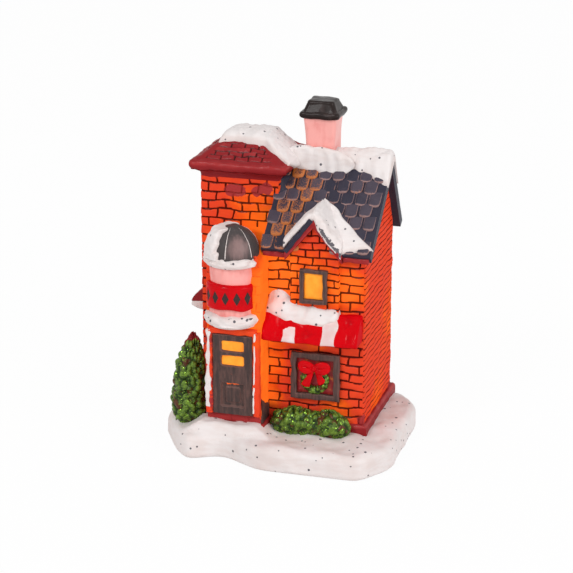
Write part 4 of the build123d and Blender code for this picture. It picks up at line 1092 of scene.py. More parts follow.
def tower_roof():
    """Cornice and hip over a rounded rectangle, with small tiles scored in the middle of each slope."""
    rows = cornice_rows()
    loops = rounded_loops(rows, 1.2 * mm, 84)
    gap = (loops[..., :2] - lip_mid) / np.array([row[1] for row in rows])[:, None]
    facing = np.abs(gap[..., 0]) > np.abs(gap[..., 1])
    along = np.where(facing, loops[..., 1], loops[..., 0])
    share = np.clip((loops[..., 2] - lip_top) / (hip_top - lip_top), 0, 1)
    slope = share * np.hypot(hip_inset, hip_top - lip_top)
    groove, tone = brick_relief(along + 20 * mm, slope + 0.9 * mm, 4.4 * mm, 1.9 * mm, 0.6 * mm, 0.1, 53)
    lateral = np.where(facing, np.abs(gap[..., 1]), np.abs(gap[..., 0]))
    scored = smooth(share, 0.08, 0.14) * (1 - smooth(share, 0.9, 0.98)) * (1 - smooth(lateral, 0.74, 0.84))
    lift = -0.45 * mm * groove * scored + 0.3 * mm * tone * scored
    lift = lift + 0.16 * mm * ripples(loops, 6 * mm, 54) + 0.08 * mm * ripples(loops, 2.5 * mm, 55)
    loops = loops + lift[..., None] * upward
    # The lip's upper roll and the tile faces are marked paler: thin glaze, and painted highlight where light
    # falls on the cornice
    lip = np.exp(-((loops[..., 2] - lip_top + 0.8 * mm) / (1.0 * mm)) ** 2)
    edge = 0.7 * lip + scored * (0.15 + 0.5 * tone) * (1 - groove)
    return stack(loops, edge=edge, joint=groove * scored)


def tower_snow(sizes):
    """Mound on the hip: flat over its top, then down the right slope and over the cornice's right side."""
    right = lip_mid[0] + lip_half[0]
    path, c = grid(np.linspace(-24.5 * mm, right + 3.0 * mm, 84), np.linspace(-1, 1, 45))
    stations = np.array([-24.5 * mm, -9.2 * mm, right, right + 3.0 * mm])
    ragged = 0.5 * mm * ripples(spread(path, 0 * c, np.sign(c) * 4 * mm), 7 * mm, 57)
    front = np.interp(path, stations, np.array([6.7, 6.5, 2.6, 10.0]) * mm)
    back = np.interp(path, stations, np.array([21.3, 21.5, 19.5, 20.0]) * mm)
    y = (front + back) / 2 + c * ((back - front) / 2 + ragged)
    x = np.minimum(path, right)
    over = np.maximum(path - right, 0)
    inset = np.minimum(right - x, lip_half[1] - np.abs(y - lip_mid[1]))
    hip = lip_top + (hip_top - lip_top) * np.clip(inset / hip_inset, 0, 1)
    line = spread(x, y, hip - over)
    across = np.array([-24.5, -12.0, -9.0, -5.0, 0.0, 3.0]) * mm
    thick = np.interp(path, across, np.array([3.0, 3.5, 3.0, 2.2, 1.4, 0.9]) * mm)
    lean = smooth(path, right - 1.5 * mm, right + 1.5 * mm)
    lift = thick[..., None] * spread(lean, 0 * x, 1 - 0.8 * lean)
    share = (path - path.min()) / (right - path.min())
    rows = np.where(share < 0.2, 1 - share / 0.2, 0) + smooth(over, 1.5 * mm, 3.0 * mm)
    return laid_snow(line, lift, (rows, c), 58, sizes.snow_lumps, 0.8 * mm, 3.0, scrape=0.0 * x)


def chimney_drift():
    """Snow heaped against the chimney's front, thinning out to both sides."""
    t = np.linspace(-1, 1, bar_steps)
    swell = (1 - np.abs(t) ** 3) ** 0.6 + 0.03
    y, z = stack_low[1] - 0.1 * mm, ridge_top[1] + 0.5 * mm
    ends = (main_left - 1.5 * mm, y, z - 0.5 * mm), (stack_high[0] + 6.0 * mm, y, z - 2.4 * mm)
    return face_bar(*ends, 3.9 * mm * swell, 1.1 * mm * swell, 65, 0.2 * mm, thin=0.15, scrape=0.0)


def chimney_stack():
    """Square stack with soft corners: upright sides that flare in a hollow curve below the cap."""
    flare = 0.8 * mm
    half = (stack_high - stack_low)[:2] / 2 - flare
    rows = []
    for share in np.linspace(0, 1, 24):
        out = flare * (0.15 + 0.85 * share ** 4)
        rows.append((stack_mid, half + out, stack_low[2] + share * (stack_high[2] + 0.3 * mm - stack_low[2])))
    loops = rounded_loops(rows, 1.1 * mm)
    swell = 0.12 * mm * ripples(loops, 7 * mm, 61)
    loops = loops + swell[..., None] * level_out(loops, stack_mid)
    edge = 0.3 * np.exp(-np.linspace(0, 5, 24))[:, None] + 0 * swell
    return stack(loops, edge=edge)


def chimney_cap():
    """Rimmed cap: a thick rounded slab, and on it a tapering block with a soft top edge."""
    half = (cap_high - cap_low)[:2] / 2
    rim, soft = 2.2 * mm, 0.9 * mm
    rows = [(stack_mid, half - 2.0 * mm, cap_low[2])]
    for turn in np.linspace(-pi / 2, pi / 2, 11):
        rows.append((stack_mid, half + soft * (cos(turn) - 1), cap_low[2] + rim / 2 * (1 + sin(turn))))
    shoulder = cap_high[2] - soft
    for share in np.linspace(0, 1, 9):
        height = cap_low[2] + rim + share * (shoulder - cap_low[2] - rim)
        rows.append((stack_mid, half - soft - 0.15 * mm - 1.0 * mm * share, height))
    for turn in np.linspace(0, pi / 2, 7)[1:]:
        rows.append((stack_mid, half - 2.05 * mm - soft * (1 - cos(turn)), shoulder + soft * sin(turn)))
    loops = rounded_loops(rows, 1.2 * mm)
    loops = loops + 0.12 * mm * ripples(loops, 5 * mm, 63)[..., None] * upward
    return stack(loops)


# Dormer


def dormer_verge():
    """Slate edge between the left bargeboard and the snow."""
    face = -13.45 * mm
    eave = dormer_peak - dormer_eave_half * dormer_rise
    foot = np.array([dormer_x - dormer_eave_half + 0.2 * mm, face, eave])
    peak = np.array([dormer_x - 0.5 * mm, face, dormer_peak])
    up = np.array([0, 0, dormer_roof_up])
    return face_bar(foot + up, peak + up, 0.75 * mm, 0.45 * mm, 75, 0.1 * mm, edge=0.0, tone=0.0, wash=0.0)


def dormer_walls(sizes):
    """Gabled wall that stands on the awning, its back inside the house wall, then inside the roof."""
    foot = 45.5 * mm
    gable = lambda u: dormer_peak - foot - np.abs(u - dormer_half) * dormer_rise
    shell = panel(
        (dormer_x - dormer_half, dormer_front, foot), "front", 2 * dormer_half, dormer_peak - foot, sizes, 67,
        0.86 * sizes.brick_length, 0.82 * sizes.brick_course, 0.15, "bb", gable, 1.0 * mm)
    size = len(shell.points) // 2
    back = shell.points[size:]
    back[:, 1] = np.where(back[:, 2] > front_wall_top - 1 * mm, back[:, 1] + 7.0 * mm, house_front + 1.0 * mm)
    return shell


def chevron_loops(half, low, thick, front, back, power, seed, lumps, droop=0.0, waves=0.0):
    """Closed loops carried over the dormer's two slopes: each a flattened oval between front and back."""
    share = np.concatenate([np.linspace(-1, 0, 31), np.linspace(0, 1, 31)[1:]])
    turn = full_turn(56)
    s, a = grid(share, turn)
    wave = waves * ripples(spread(s * half, 0 * s, 0 * s), 6 * mm, seed + 2)
    middle, reach = (front + back) / 2, (back - front) / 2
    y = middle - squared(np.cos(a), 2 / power) * (reach + np.where(np.cos(a) > 0, wave, 0))
    rise = thick / cos(dormer_pitch)
    bend = 1 - smooth(np.abs(s), 0.0, 0.22)
    above = rise * (0.5 + 0.5 * squared(np.sin(a), 2 / power))
    z = low - half * np.abs(s) * dormer_rise + above - bend * droop
    points = spread(dormer_x + s * half, y, z)
    swell = lumps * (ripples(points, 4 * mm, seed) + 0.5 * ripples(points, 1.8 * mm, seed + 1))
    points = points + swell[..., None] * np.array([0.3, -0.5, 0.8])
    return points, s, a


def bargeboards():
    """Dormer roof: a bent board, rounded at its edges, that runs back into the main roof."""
    points, s, a = chevron_loops(
        dormer_eave_half, dormer_peak, dormer_roof_thick, -13.6 * mm, -1.0 * mm, 7.0, 71, 0.12 * mm)
    edge = np.abs(np.cos(a)) ** 3 * np.abs(np.sin(a)) ** 0.5 + 0.35 * (np.cos(a) > 0.8)
    return stack(points, edge=edge)


def dormer_blanket(sizes):
    """Snow on the dormer: thick on both slopes, hanging over the right bargeboard with a scraped edge."""
    low = dormer_peak + dormer_roof_up - 0.4 * mm
    points, s, a = chevron_loops(
        dormer_eave_half - 0.2 * mm, low, 2.7 * mm, -13.5 * mm, 2.4 * mm, 3.2, 73, sizes.snow_lumps,
        droop=0.6 * mm, waves=0.3 * mm)
    hang = smooth(s, 0.02, 0.2) * smooth(np.cos(a), -0.2, 0.6) * smooth(-np.sin(a), -0.5, 0.3)
    full = smooth(-s, 0.05, 0.3) * smooth(np.cos(a), -0.2, 0.6)
    points = points + mm * hang[..., None] * np.array([0, -0.5, -2.0])
    points = points + mm * full[..., None] * np.array([-0.5, -0.3, 0.6])
    front = smooth(np.cos(a), 0.3, 0.8) * np.exp(-((np.sin(a) + 0.05) / 0.25) ** 2)
    # Front and back faces marked thin: painted shade on the snow's sides
    return stack(points, thin=0.25 * np.abs(np.cos(a)), scrape=0.85 * front * smooth(s, 0.05, 0.3))


def dormer_drift(sizes):
    """Drift in the valley to the right: a sheet on the main slope that narrows to the dormer's peak."""
    t, c = grid(np.linspace(0, 1, 40), np.linspace(-1, 1, 25))
    left = dormer_x + dormer_eave_half * (1 - t) - 1.5 * mm
    ragged = 0.7 * mm * ripples(spread(0 * t, t * 20 * mm, 0 * t), 7 * mm, 77)
    right = dormer_x + 17.0 * mm * (1 - t) + 0.6 * mm + ragged
    x = left + (right - left) * (c + 1) / 2
    foot = 2.6 * mm * (c + 1) / 2
    up = foot + t * (19.5 * mm - foot)
    line = slope_points(x, up, 0 * x)
    lift = slope_points(x, up, np.full_like(x, 1.9 * mm)) - line
    return laid_snow(line, lift, (2 * t - 1, np.maximum(c, 0)), 78, sizes.snow_lumps, scrape=0.0 * x)


# Windows, wreath and bow


def frame_ring(middle, half, border, face, thick, seed):
    """Window frame: a rounded strip carried round a rectangle, standing out from the wall."""
    outline = np.array([(-1, -1), (1, -1), (1, 1), (-1, 1)]) * half + middle
    turn = full_turn(16) + pi / 16
    shares = np.linspace(0, 1, 20)[:-1]
    loops = []
    for a in turn:
        inset = border / 2 * (1 - squared(cos(a), 0.45))
        out = thick / 2 * (1 + squared(sin(a), 0.45))
        sides = along_sides(mitred(outline, -inset), shares)
        loops.append(np.stack([sides[:, 0], np.full(len(sides), face - out), sides[:, 1]], axis=1))
    loops = np.array(loops)
    loops = loops + 0.13 * mm * jostle(loops, 4 * mm, seed)
    return ring(loops, edge=np.abs(np.sin(2 * turn))[:, None] * 0.6, scratch=0.22)


def pillow(middle, half, face, thick, seed):
    """Pane: a flat sheet with soft edges, its front swelling slightly."""
    a, b = grid(np.linspace(-1, 1, 21), np.linspace(-1, 1, 21))
    swell = np.clip((1 - np.abs(a) ** 6) * (1 - np.abs(b) ** 6), 0, 1) ** 0.5
    x, z = middle[0] + a * half[0], middle[1] + b * half[1]
    y = face - thick * (0.3 + 0.7 * swell) + 0.05 * mm * ripples(spread(x, 0 * x, z), 2.5 * mm, seed)
    return slab(spread(x, y, z), spread(x, 0 * x + face + 0.2 * mm, z))


dormer_window = np.array([dormer_x, 55.3 * mm])
dormer_window_half = np.array([4.35, 5.5]) * mm
shop_window = np.array([11.6 * mm, 25.6 * mm])
shop_window_half = np.array([7.8, 7.6]) * mm
frame_thick, frame_lap = 1.6 * mm, 0.2 * mm
wreath_middle = shop_window - np.array([0, 0.9 * mm])
pane_front = house_front - 0.6 * mm


def wreath_ring(sizes):
    """Wreath: a round ring whose tube swells into leaf tufts."""
    turn, a = grid(full_turn(120), full_turn(32))
    tuft, tone = buds(turn / (2 * pi) * 18, a / (2 * pi) * 6, 81, 18)
    radius = 0.75 * mm + 0.75 * sizes.leaf_depth * tuft
    reach = 3.4 * mm + radius * np.cos(a)
    y = pane_front - 0.55 * mm + radius * np.sin(a)
    points = spread(wreath_middle[0] + reach * np.cos(turn), y, wreath_middle[1] + reach * np.sin(turn))
    return ring(points, tuft=tuft, tone=tone)


def ribbon(path, half, thick, normal, twist):
    """A ribbon along a path: a flattened oval at each point, turned about the path by an angle."""
    ahead = np.gradient(path, axis=0)
    ahead /= np.linalg.norm(ahead, axis=1)[:, None]
    side = np.cross(normal, ahead)
    side /= np.linalg.norm(side, axis=1)[:, None]
    out = np.cross(ahead, side)
    wide = side * np.cos(twist)[:, None] + out * np.sin(twist)[:, None]
    deep = out * np.cos(twist)[:, None] - side * np.sin(twist)[:, None]
    turn = full_turn(16)
    shape = squared(np.cos(turn), 0.7)
    loops = path[:, None] + wide[:, None] * (half[:, None] * shape)[..., None]
    loops = loops + deep[:, None] * (thick[:, None] * np.sin(turn))[..., None]
    return stack(loops)


def bow():
    """Bow on the wreath: two loops of ribbon, two tails and a round knot."""
    knot = np.array([wreath_middle[0], pane_front - 1.75 * mm, wreath_middle[1] + 4.0 * mm])
    t = np.linspace(0, 1, 29)
    thick, inward = np.full_like(t, 0.4 * mm), np.array([0.0, 1.0, 0.0])
    shells = []
    for side in (-1, 1):
        turn = 2 * pi * t
        path = knot + mm * spread(
            side * (0.3 + 1.85 * (1 - np.cos(turn))), 0.35 - 0.45 * np.sin(turn) ** 2,
            0.2 * (1 - np.cos(turn)) + 1.2 * np.sin(turn) * (0.6 + 0.4 * np.sin(turn / 2)))
        half = (0.7 + 0.5 * np.sin(pi * t)) * mm
        shells.append(ribbon(path, half, thick, inward, 0 * t))
        drop = 6.0 if side < 0 else 4.6
        tail = knot + mm * spread(
            side * (0.3 + 2.5 * t ** 0.8), 0.2 + 0.25 * np.sin(2 * pi * t), -drop * t - 0.4 * np.sin(pi * t))
        width = (0.7 + 0.75 * t) * mm * np.minimum(1, (1.02 - t) / 0.06)
        shells.append(ribbon(tail, width, thick, inward, 0.3 * np.sin(4 * t)))
    a, b = grid(np.linspace(-0.5 * pi, 0.5 * pi, 12), full_turn(20))
    loops = knot + mm * spread(0.95 * np.cos(a) * np.cos(b), 0.62 * np.sin(a), np.cos(a) * np.sin(b))
    shells.append(stack(loops[1:-1]))
    return shells


# Awning

awning_right = 26.4 * mm
awning_top = 46.6 * mm
# White bands: both edges from the awning's left end, and the height where the band stops
awning_bands = np.array([(6.2, 10.1, 42.2), (18.5, 22.9, 60.0)]) * mm


def awning_shell():
    """Awning: a round-edged profile carried along the wall, sagging and swelling a little on its way."""
    profile = np.array([
        (0.6, 38.4), (0.6, 46.6), (-1.6, 46.6), (-2.4, 46.2), (-4.6, 43.4), (-6.8, 40.6), (-7.3, 39.9),
        (-7.45, 39.2), (-7.4, 38.5), (-6.9, 38.15), (-5.0, 38.3), (-2.0, 38.4),
    ]) * mm
    outline = softened(profile, np.linspace(0, len(profile) - 1, 67))
    length = awning_right - main_left
    soft, close = 0.5 * mm, 0.15 * mm
    x = main_left - 0.1 * mm + np.concatenate([
        [0.0, close], np.linspace(soft, length - soft, 118), [length - close, length]])
    shrink = 1 - 0.06 * np.maximum(1 - (x - x[0]) / soft, 0) - 0.06 * np.maximum(1 - (x[-1] - x) / soft, 0)
    middle = outline.mean(axis=0)
    flat = middle + (outline - middle)[None] * shrink[:, None, None]
    points = spread(x[:, None] + 0 * flat[..., 0], house_front + flat[..., 0], flat[..., 1])
    front = smooth(-flat[..., 0], 3 * mm, 7 * mm)
    scallop = 0.28 * mm * np.cos(2 * pi * (x - x[0]) / (7.4 * mm))[:, None] * front
    swell = 0.2 * mm * ripples(points, 6 * mm, 83) + 0.08 * mm * ripples(points, 2.4 * mm, 84)
    points = points + spread(0 * swell, -0.5 * swell - 0.6 * scallop, 0.6 * swell + 0.5 * scallop)
    along = points[..., :1] - main_left + 0.4 * mm * ripples(points, 6 * mm, 85)[..., None]
    height = points[..., 2:] + 0.4 * mm * ripples(points, 3 * mm, 86)[..., None]
    first, last, top = awning_bands.T
    inside = np.minimum(np.minimum(along - first, last - along), top - height).max(axis=-1)
    return stack(points, band=smooth(inside, -0.3 * mm, 0.3 * mm))


def awning_snow(sizes):
    """Snow on the awning: a tall heap against the bay, then a blanket that ends under the dormer's window."""
    x, c = grid(np.linspace(main_left - 0.2 * mm, 19.4 * mm, 90), np.linspace(0, 1, 31))
    stations = np.array([-3.8, -1.4, 1.8, 4.2, 7.5, 14.5, 18.3, 19.4]) * mm
    reach = np.interp(x, stations, np.array([3.0, 3.7, 4.7, 5.5, 6.0, 6.0, 4.2, 3.0]) * mm)
    tall = np.interp(x, stations, np.array([4.2, 6.4, 5.4, 4.2, 2.9, 2.4, 1.6, 1.0]) * mm)
    reach = reach + 0.35 * mm * ripples(spread(x, 0 * x, 0 * x), 5 * mm, 87)
    run = c * reach
    flat = np.minimum(run, 1.8 * mm)
    fall = np.maximum(run - 1.8 * mm, 0)
    line = spread(x, house_front - flat - 0.62 * fall, awning_top - 0.2 * mm - 0.78 * fall)
    bend = smooth(run, 0.8 * mm, 3.0 * mm)
    thick = 1.2 * mm + (tall - 1.2 * mm) * (1 - c) ** 1.5
    lift = thick[..., None] * spread(0 * x, -0.6 * bend, 1 - 0.3 * bend)
    share = (x - x.min()) / (x.max() - x.min())
    rows = np.where(share < 0.5, (1 - 2 * share) ** 12, (2 * share - 1) ** 6)
    return laid_snow(line, lift, (rows, c), 88, 1.4 * sizes.snow_lumps, 0.4 * mm, 4.0, scrape=0.12 + 0.0 * x)


# Door

door_mid = bay_mid
door_half = 6.45 * mm
door_foot, door_height = 14.3 * mm, 25.4 * mm
door_panes = np.array([(29.5, 33.0), (34.2, 37.7)]) * mm
door_panel = np.array([16.1, 23.9]) * mm
pane_half = 3.75 * mm
rail_height, worn_height = 27.1 * mm, 23.6 * mm


def inset_depth(x, z, low, high, half):
    """1 inside a rounded rectangle and 0 outside it, with a narrow slope between."""
    gap_x = np.abs(x - door_mid) - half
    gap_z = np.abs(z - (low + high) / 2) - (high - low) / 2
    round_off = 0.7 * mm
    gap = np.hypot(np.maximum(gap_x + round_off, 0), np.maximum(gap_z + round_off, 0)) - round_off
    gap = np.where((gap_x < -round_off) & (gap_z < -round_off), np.maximum(gap_x, gap_z), gap)
    return 1 - smooth(gap, -0.35 * mm, 0.1 * mm)


def door_leaf():
    """Door: a height field with sunk panes and a sunk lower panel, planked and worn."""
    z, x = grid(np.linspace(door_foot - 0.6 * mm, door_foot + door_height, 130),
                np.linspace(door_mid - door_half, door_mid + door_half, 70))
    sunk = sum(inset_depth(x, z, low, high, pane_half) for low, high in door_panes)
    field = inset_depth(x, z, door_panel[0], door_panel[1], pane_half)
    raised = inset_depth(x, z, door_panel[0] + 1.3 * mm, door_panel[1] - 1.3 * mm, pane_half - 1.3 * mm)
    flat = spread(x, 0 * x, z)
    lift = 1.4 * mm - 0.8 * mm * sunk - 0.7 * mm * field + 0.35 * mm * raised
    lift = lift + 0.09 * mm * ripples(flat, 2.6 * mm, 91) + 0.12 * mm * ripples(flat, 6 * mm, 92)
    border = np.minimum(door_half - np.abs(x - door_mid), door_foot + door_height - z)
    lift = lift - 0.8 * corner_drop(border, 0.6 * mm)
    aside = np.abs(x - door_mid)
    rail = 0.85 * np.exp(-((z - rail_height) / (0.7 * mm)) ** 2) * smooth(2 * mm - aside, 0, 1.5 * mm)
    worn = np.exp(-((z - worn_height) / (0.6 * mm)) ** 2) * smooth(2.6 * mm - aside, 0, 0.6 * mm)
    edge = np.abs(np.gradient(lift, axis=0)) + np.abs(np.gradient(lift, axis=1))
    front = spread(x, bay_front - lift, z)
    back = spread(x, 0 * x + bay_front + 0.4 * mm, z)
    return slab(front, back, edge=smooth(edge, 0, 0.25 * mm), scratch=0.62 * rail + 0.75 * worn + 0.06)


def door_frame():
    """Brick-glazed surround: two jambs and a head."""
    left, right = door_mid + np.array([-1, 1]) * (door_half + 1.15 * mm)
    face = bay_front - 0.6 * mm
    foot, head = door_foot - 0.6 * mm, door_foot + door_height + 1.1 * mm
    glow = 0.3 * smooth(np.linspace(0, 1, bar_steps), 0.2, 0.9)[:, None]
    bars = (
        ((left, face, foot), (left, face, head), 1.1 * mm, 95, 0.45),
        ((right, face, foot), (right, face, head), 1.1 * mm, 97, 0.1),
        ((left, face, head), (right, face, head), 1.0 * mm, 99, 0.0),
    )
    return [
        face_bar(start, end, half, 1.3 * mm, seed, 0.12 * mm, stain=stain, tone=0.4, glow=glow, joint=0.0)
        for start, end, half, seed, stain in bars
    ]


def dark_run():
    """Dark glaze run down the bay's right side by the door, highest at the front."""
    y, t = grid(np.linspace(bay_front + 0.4 * mm, house_front - 0.2 * mm, 30), np.linspace(0, 1, 20))
    share = (y - bay_front) / (house_front - bay_front)
    top = 19.5 * mm - 4.5 * mm * share ** 0.7 + 0.12 * mm * ripples(spread(y, 0 * y, 0 * y), 3 * mm, 98)
    z = ground + t * (top - ground)
    front = spread(main_left + 0.3 * mm * (1 - t ** 8) + 0 * y, y, z)
    return slab(front, spread(main_left - 0.4 * mm + 0 * y, y, z), edge=0.0 * y, scratch=0.0 * y)


def door_streaks():
    """White slip on the surround: a ragged streak that widens down the left jamb, and a thin one opposite."""
    t = np.linspace(0, 1, bar_steps)
    line = spread(0 * t, 0 * t, t * 28 * mm)
    left, right = door_mid - door_half - 1.0 * mm, door_mid + door_half + 0.9 * mm
    face = bay_front - 1.35 * mm
    foot, head = door_foot + 0.5 * mm, door_foot + door_height + 1.2 * mm
    broad = 0.95 - 0.4 * t + 0.25 * ripples(line, 9 * mm, 93) + 0.15 * ripples(line, 3 * mm, 94)
    slim = 0.28 + 0.1 * ripples(line, 7 * mm, 96)
    broad, slim = np.clip(broad, 0.15, 1.2) * mm, np.clip(slim, 0.08, 0.6) * mm
    low_left, low_right = (left - 0.5 * mm, face, foot + 1 * mm), (right - 0.5 * mm, face, foot)
    return [
        face_bar(low_left, (left, face, head), broad, 0.8 * mm, 101, 0.12 * mm, thin=0.3, scrape=0.1),
        face_bar(low_right, (right, face, head), slim, 0.7 * mm, 103, 0.08 * mm, thin=0.2, scrape=0.1),
    ]


# Corner oriel

oriel = np.array([bay_mid - 0.8 * mm, bay_front + 3.0 * mm])
drum_radius, ledge_radius, dome_radius = 7.3 * mm, 9.0 * mm, 8.0 * mm
rim_top = 64.8 * mm
dome_rise = 8.8 * mm
ledge_snow, rim_snow = (42.4 * mm, 46.8 * mm), (61.5 * mm, 64.9 * mm)
drum_foot, drum_tall, drum_ribs = 46.0 * mm, 16.2 * mm, 26
sign_height, sign_half, sign_turn = 52.5 * mm, 4.1 * mm, 1.16


def segment_loops(radii, heights):
    """Level loops about the oriel's axis: an arc in front of the bay's face, shut by a chord in the wall."""
    chord = oriel[1] - bay_front - 0.5 * mm
    ends = np.arccos(chord / radii)
    arc = np.linspace(-1, 1, 73)
    turn = ends[:, None] * arc
    x = oriel[0] + radii[:, None] * np.sin(turn)
    y = oriel[1] - radii[:, None] * np.cos(turn)
    straight = np.linspace(1, -1, 22)[1:-1]
    x = np.concatenate([x, oriel[0] + (radii * np.sin(ends))[:, None] * straight], axis=1)
    y = np.concatenate([y, np.full((len(radii), len(straight)), bay_front + 0.5 * mm)], axis=1)
    return spread(x, y, heights[:, None] + 0 * x)


def snow_roll(low, high, seed, lumps):
    """Rounded roll of snow round the oriel: a flattened oval section carried round the arc."""
    turn = np.linspace(-pi / 2, pi / 2, 17)
    radii = ledge_radius - 0.2 * mm - 2.2 * mm * (1 - np.cos(turn) ** 0.7)
    loops = segment_loops(radii, (low + high) / 2 + (high - low) / 2 * np.sin(turn))
    away = level_out(loops, oriel)
    flattened = loops * np.array([1, 1, 2.5])
    swell = lumps * (ripples(loops, 5 * mm, seed) + 0.7 * ripples(flattened, 3 * mm, seed + 1))
    loops = loops + swell[..., None] * (away + np.array([0, 0, 0.4]))
    strokes = 0.22 + 0.25 * ripples(loops * np.array([1, 1, 3.0]), 5 * mm, seed + 2)
    return stack(loops, thin=0.35 + 0 * swell, scrape=strokes)


def drum():
    """Pink drum below the dome, faintly ribbed and drawn in at its middle."""
    share = np.linspace(0, 1, 26)
    radii = drum_radius - 0.2 * mm * np.sin(pi * share)
    loops = segment_loops(radii, drum_foot + share * drum_tall)
    turn = np.arctan2(loops[..., 0] - oriel[0], oriel[1] - loops[..., 1])
    away = spread(np.sin(turn), -np.cos(turn), 0 * turn)
    rib = 0.02 * mm * np.cos(drum_ribs * turn) + 0.1 * mm * ripples(loops, 6 * mm, 113)
    edge = 0.35 * np.abs(2 * share - 1)[:, None] ** 3 + 0.03 * (0.5 - 0.5 * np.cos(drum_ribs * turn))
    return stack(loops + rib[..., None] * away, edge=edge)


def sign():
    """Blank red band round the drum: a bent sheet with wavy edges and a row of pressed lozenges."""
    turn, share = grid(np.linspace(-sign_turn, sign_turn, 97), np.linspace(-1, 1, 33))
    wave = 0.25 * mm * ripples(spread(turn * drum_radius, 0 * turn, np.sign(share) * 5 * mm), 6 * mm, 117)
    z = sign_height + share * (sign_half + wave)
    lozenge = np.abs((turn / 0.42 + 0.5) % 1 - 0.5) / 0.34 + np.abs(share) / 0.55
    dark = (1 - smooth(lozenge, 0.85, 1.05)) * (np.abs(turn) < 1.0)
    border = np.maximum(np.abs(turn) / sign_turn, np.abs(share))
    lift = 1.2 * mm * np.clip(1 - border ** 10, 0, 1) ** 0.5 - 0.28 * mm * dark + 0.05 * mm
    radius = drum_radius + lift + 0.07 * mm * ripples(spread(turn * drum_radius, 0 * z, z), 3 * mm, 118)
    place = lambda reach: spread(oriel[0] + reach * np.sin(turn), oriel[1] - reach * np.cos(turn), z)
    return slab(place(radius), place(drum_radius - 0.6 * mm), dark=dark)


def dome_profile(share):
    """Radius and height up the dome: a flattened oval from foot to tip."""
    angle = share * pi / 2
    height = rim_top - 0.5 * mm + (dome_rise + 0.5 * mm) * np.sin(angle) ** 1.05
    return dome_radius * np.cos(angle), height


def dome():
    """Dome in six gores: an oval turned about the axis, with a raised rib between each two."""
    share, turn = grid(np.linspace(0, 0.985, 40), full_turn(192))
    radius, height = dome_profile(share)
    gore = (turn * 6 / (2 * pi) + 0.5) % 1 - 0.5
    rib = np.exp(-(gore / 0.035) ** 2)
    fade = np.cos(share * pi / 2) ** 0.5
    reach = radius + (0.3 * mm * rib - 0.35 * mm * (2 * gore) ** 2 * 0.3) * fade
    points = spread(oriel[0] + reach * np.sin(turn), oriel[1] - reach * np.cos(turn), height)
    points = points + 0.08 * mm * ripples(points, 3 * mm, 121)[..., None] * upward
    worn = np.exp(-((turn - 0.55) / 0.5) ** 2) * np.exp(-((share - 0.3) / 0.28) ** 2)
    return stack(points, edge=worn, rib=rib * smooth(share, 0.0, 0.08) * (1 - smooth(share, 0.75, 0.95)))


def dome_cap(sizes):
    """Snow on the dome's left: the dome's outline, swollen where snow lies and sunk elsewhere."""
    share, turn = grid(np.linspace(0, 0.985, 50), np.linspace(-pi, pi, 181)[:-1])
    radius, height = dome_profile(share)
    points = spread(radius * np.sin(turn), -radius * np.cos(turn), height)
    ragged = 0.07 * ripples(points, 5 * mm, 123) + 0.05 * ripples(points, 2.2 * mm, 124)
    middle = radians(-104.0)
    gap = np.abs((turn - middle + pi) % (2 * pi) - pi)
    covered = 1 - smooth(gap + ragged, radians(76), radians(86))
    covered = covered * (1 - smooth(share, 0.6, 0.95))
    swell = sizes.snow_lumps * (ripples(points, 5 * mm, 125) + 0.5 * ripples(points, 2 * mm, 126))
    out = -0.5 * mm + (1.6 * mm + swell) * covered
    points = spread(oriel[0] + (radius + out) * np.sin(turn), oriel[1] - (radius + out) * np.cos(turn),
                    height + out * np.sin(share * pi / 2))
    return stack(points, thin=0.15 + 0.5 * (1 - covered), scrape=0.1 + 0 * turn)


# Hood on the tower's left wall

hood_y = np.array([3.0, 10.5]) * mm
# Outlines of the hood and its lip: width out from the wall, and height
hood_outline = np.array([
    (0.5, 41.4), (0.5, 45.6), (-0.5, 45.5), (-2.2, 43.9), (-3.7, 42.2), (-4.0, 41.4),
]) * mm
lip_outline = np.array([
    (0.5, 38.5), (0.5, 41.8), (-3.6, 41.8), (-4.0, 41.2), (-3.8, 40.0), (-2.2, 39.3),
]) * mm


def hood_bar(profile, lumps, seed, **marks):
    """A bar along the tower's left wall: an outline in width and height, carried between the hood's ends."""
    closed = np.concatenate([profile, profile[:1]])
    outline = softened(closed, np.linspace(0, len(profile), 49)[:-1])
    y = np.concatenate([hood_y[:1], np.linspace(hood_y[0] + 0.4 * mm, hood_y[1] - 0.4 * mm, 22), hood_y[1:]])
    shrink = np.ones(len(y))
    shrink[[0, -1]] = 0.85
    middle = outline.mean(axis=0)
    flat = middle + (outline - middle) * shrink[:, None, None]
    points = spread(tower_left + flat[..., 0], y[:, None] + 0 * flat[..., 0], flat[..., 1])
    swell = lumps * ripples(points, 3.5 * mm, seed)
    points = points + swell[..., None] * np.array([-0.5, 0, 0.6])
    return stack(points, **{name: value + 0 * swell for name, value in marks.items()})


# Planting


def bush(middle, radii, sizes, seed, rows, columns, low):
    """A round bush: an oval turned about its axis whose skin swells into leaf tufts."""
    lift, turn = grid(np.linspace(low * pi / 2 + 0.02, pi / 2 - 0.05, rows), full_turn(columns))
    around = max(int(2 * pi * radii[0] / sizes.leaf_pitch), 6)
    tuft, tone = buds(turn / (2 * pi) * around, lift * radii[2] / sizes.leaf_pitch + 20, seed, around)
    out = sizes.leaf_depth * (tuft - 0.5)
    x = (radii[0] + out) * np.cos(lift) * np.cos(turn)
    y = (radii[1] + out) * np.cos(lift) * np.sin(turn)
    z = (radii[2] + out) * np.sin(lift)
    return stack(np.asarray(middle) + spread(x, y, z), tuft=tuft, tone=tone)


tree = np.array([-29.0, -12.0]) * mm
tree_radius = 5.9 * mm
tree_foot, tree_tip = 7.0 * mm, 37.4 * mm


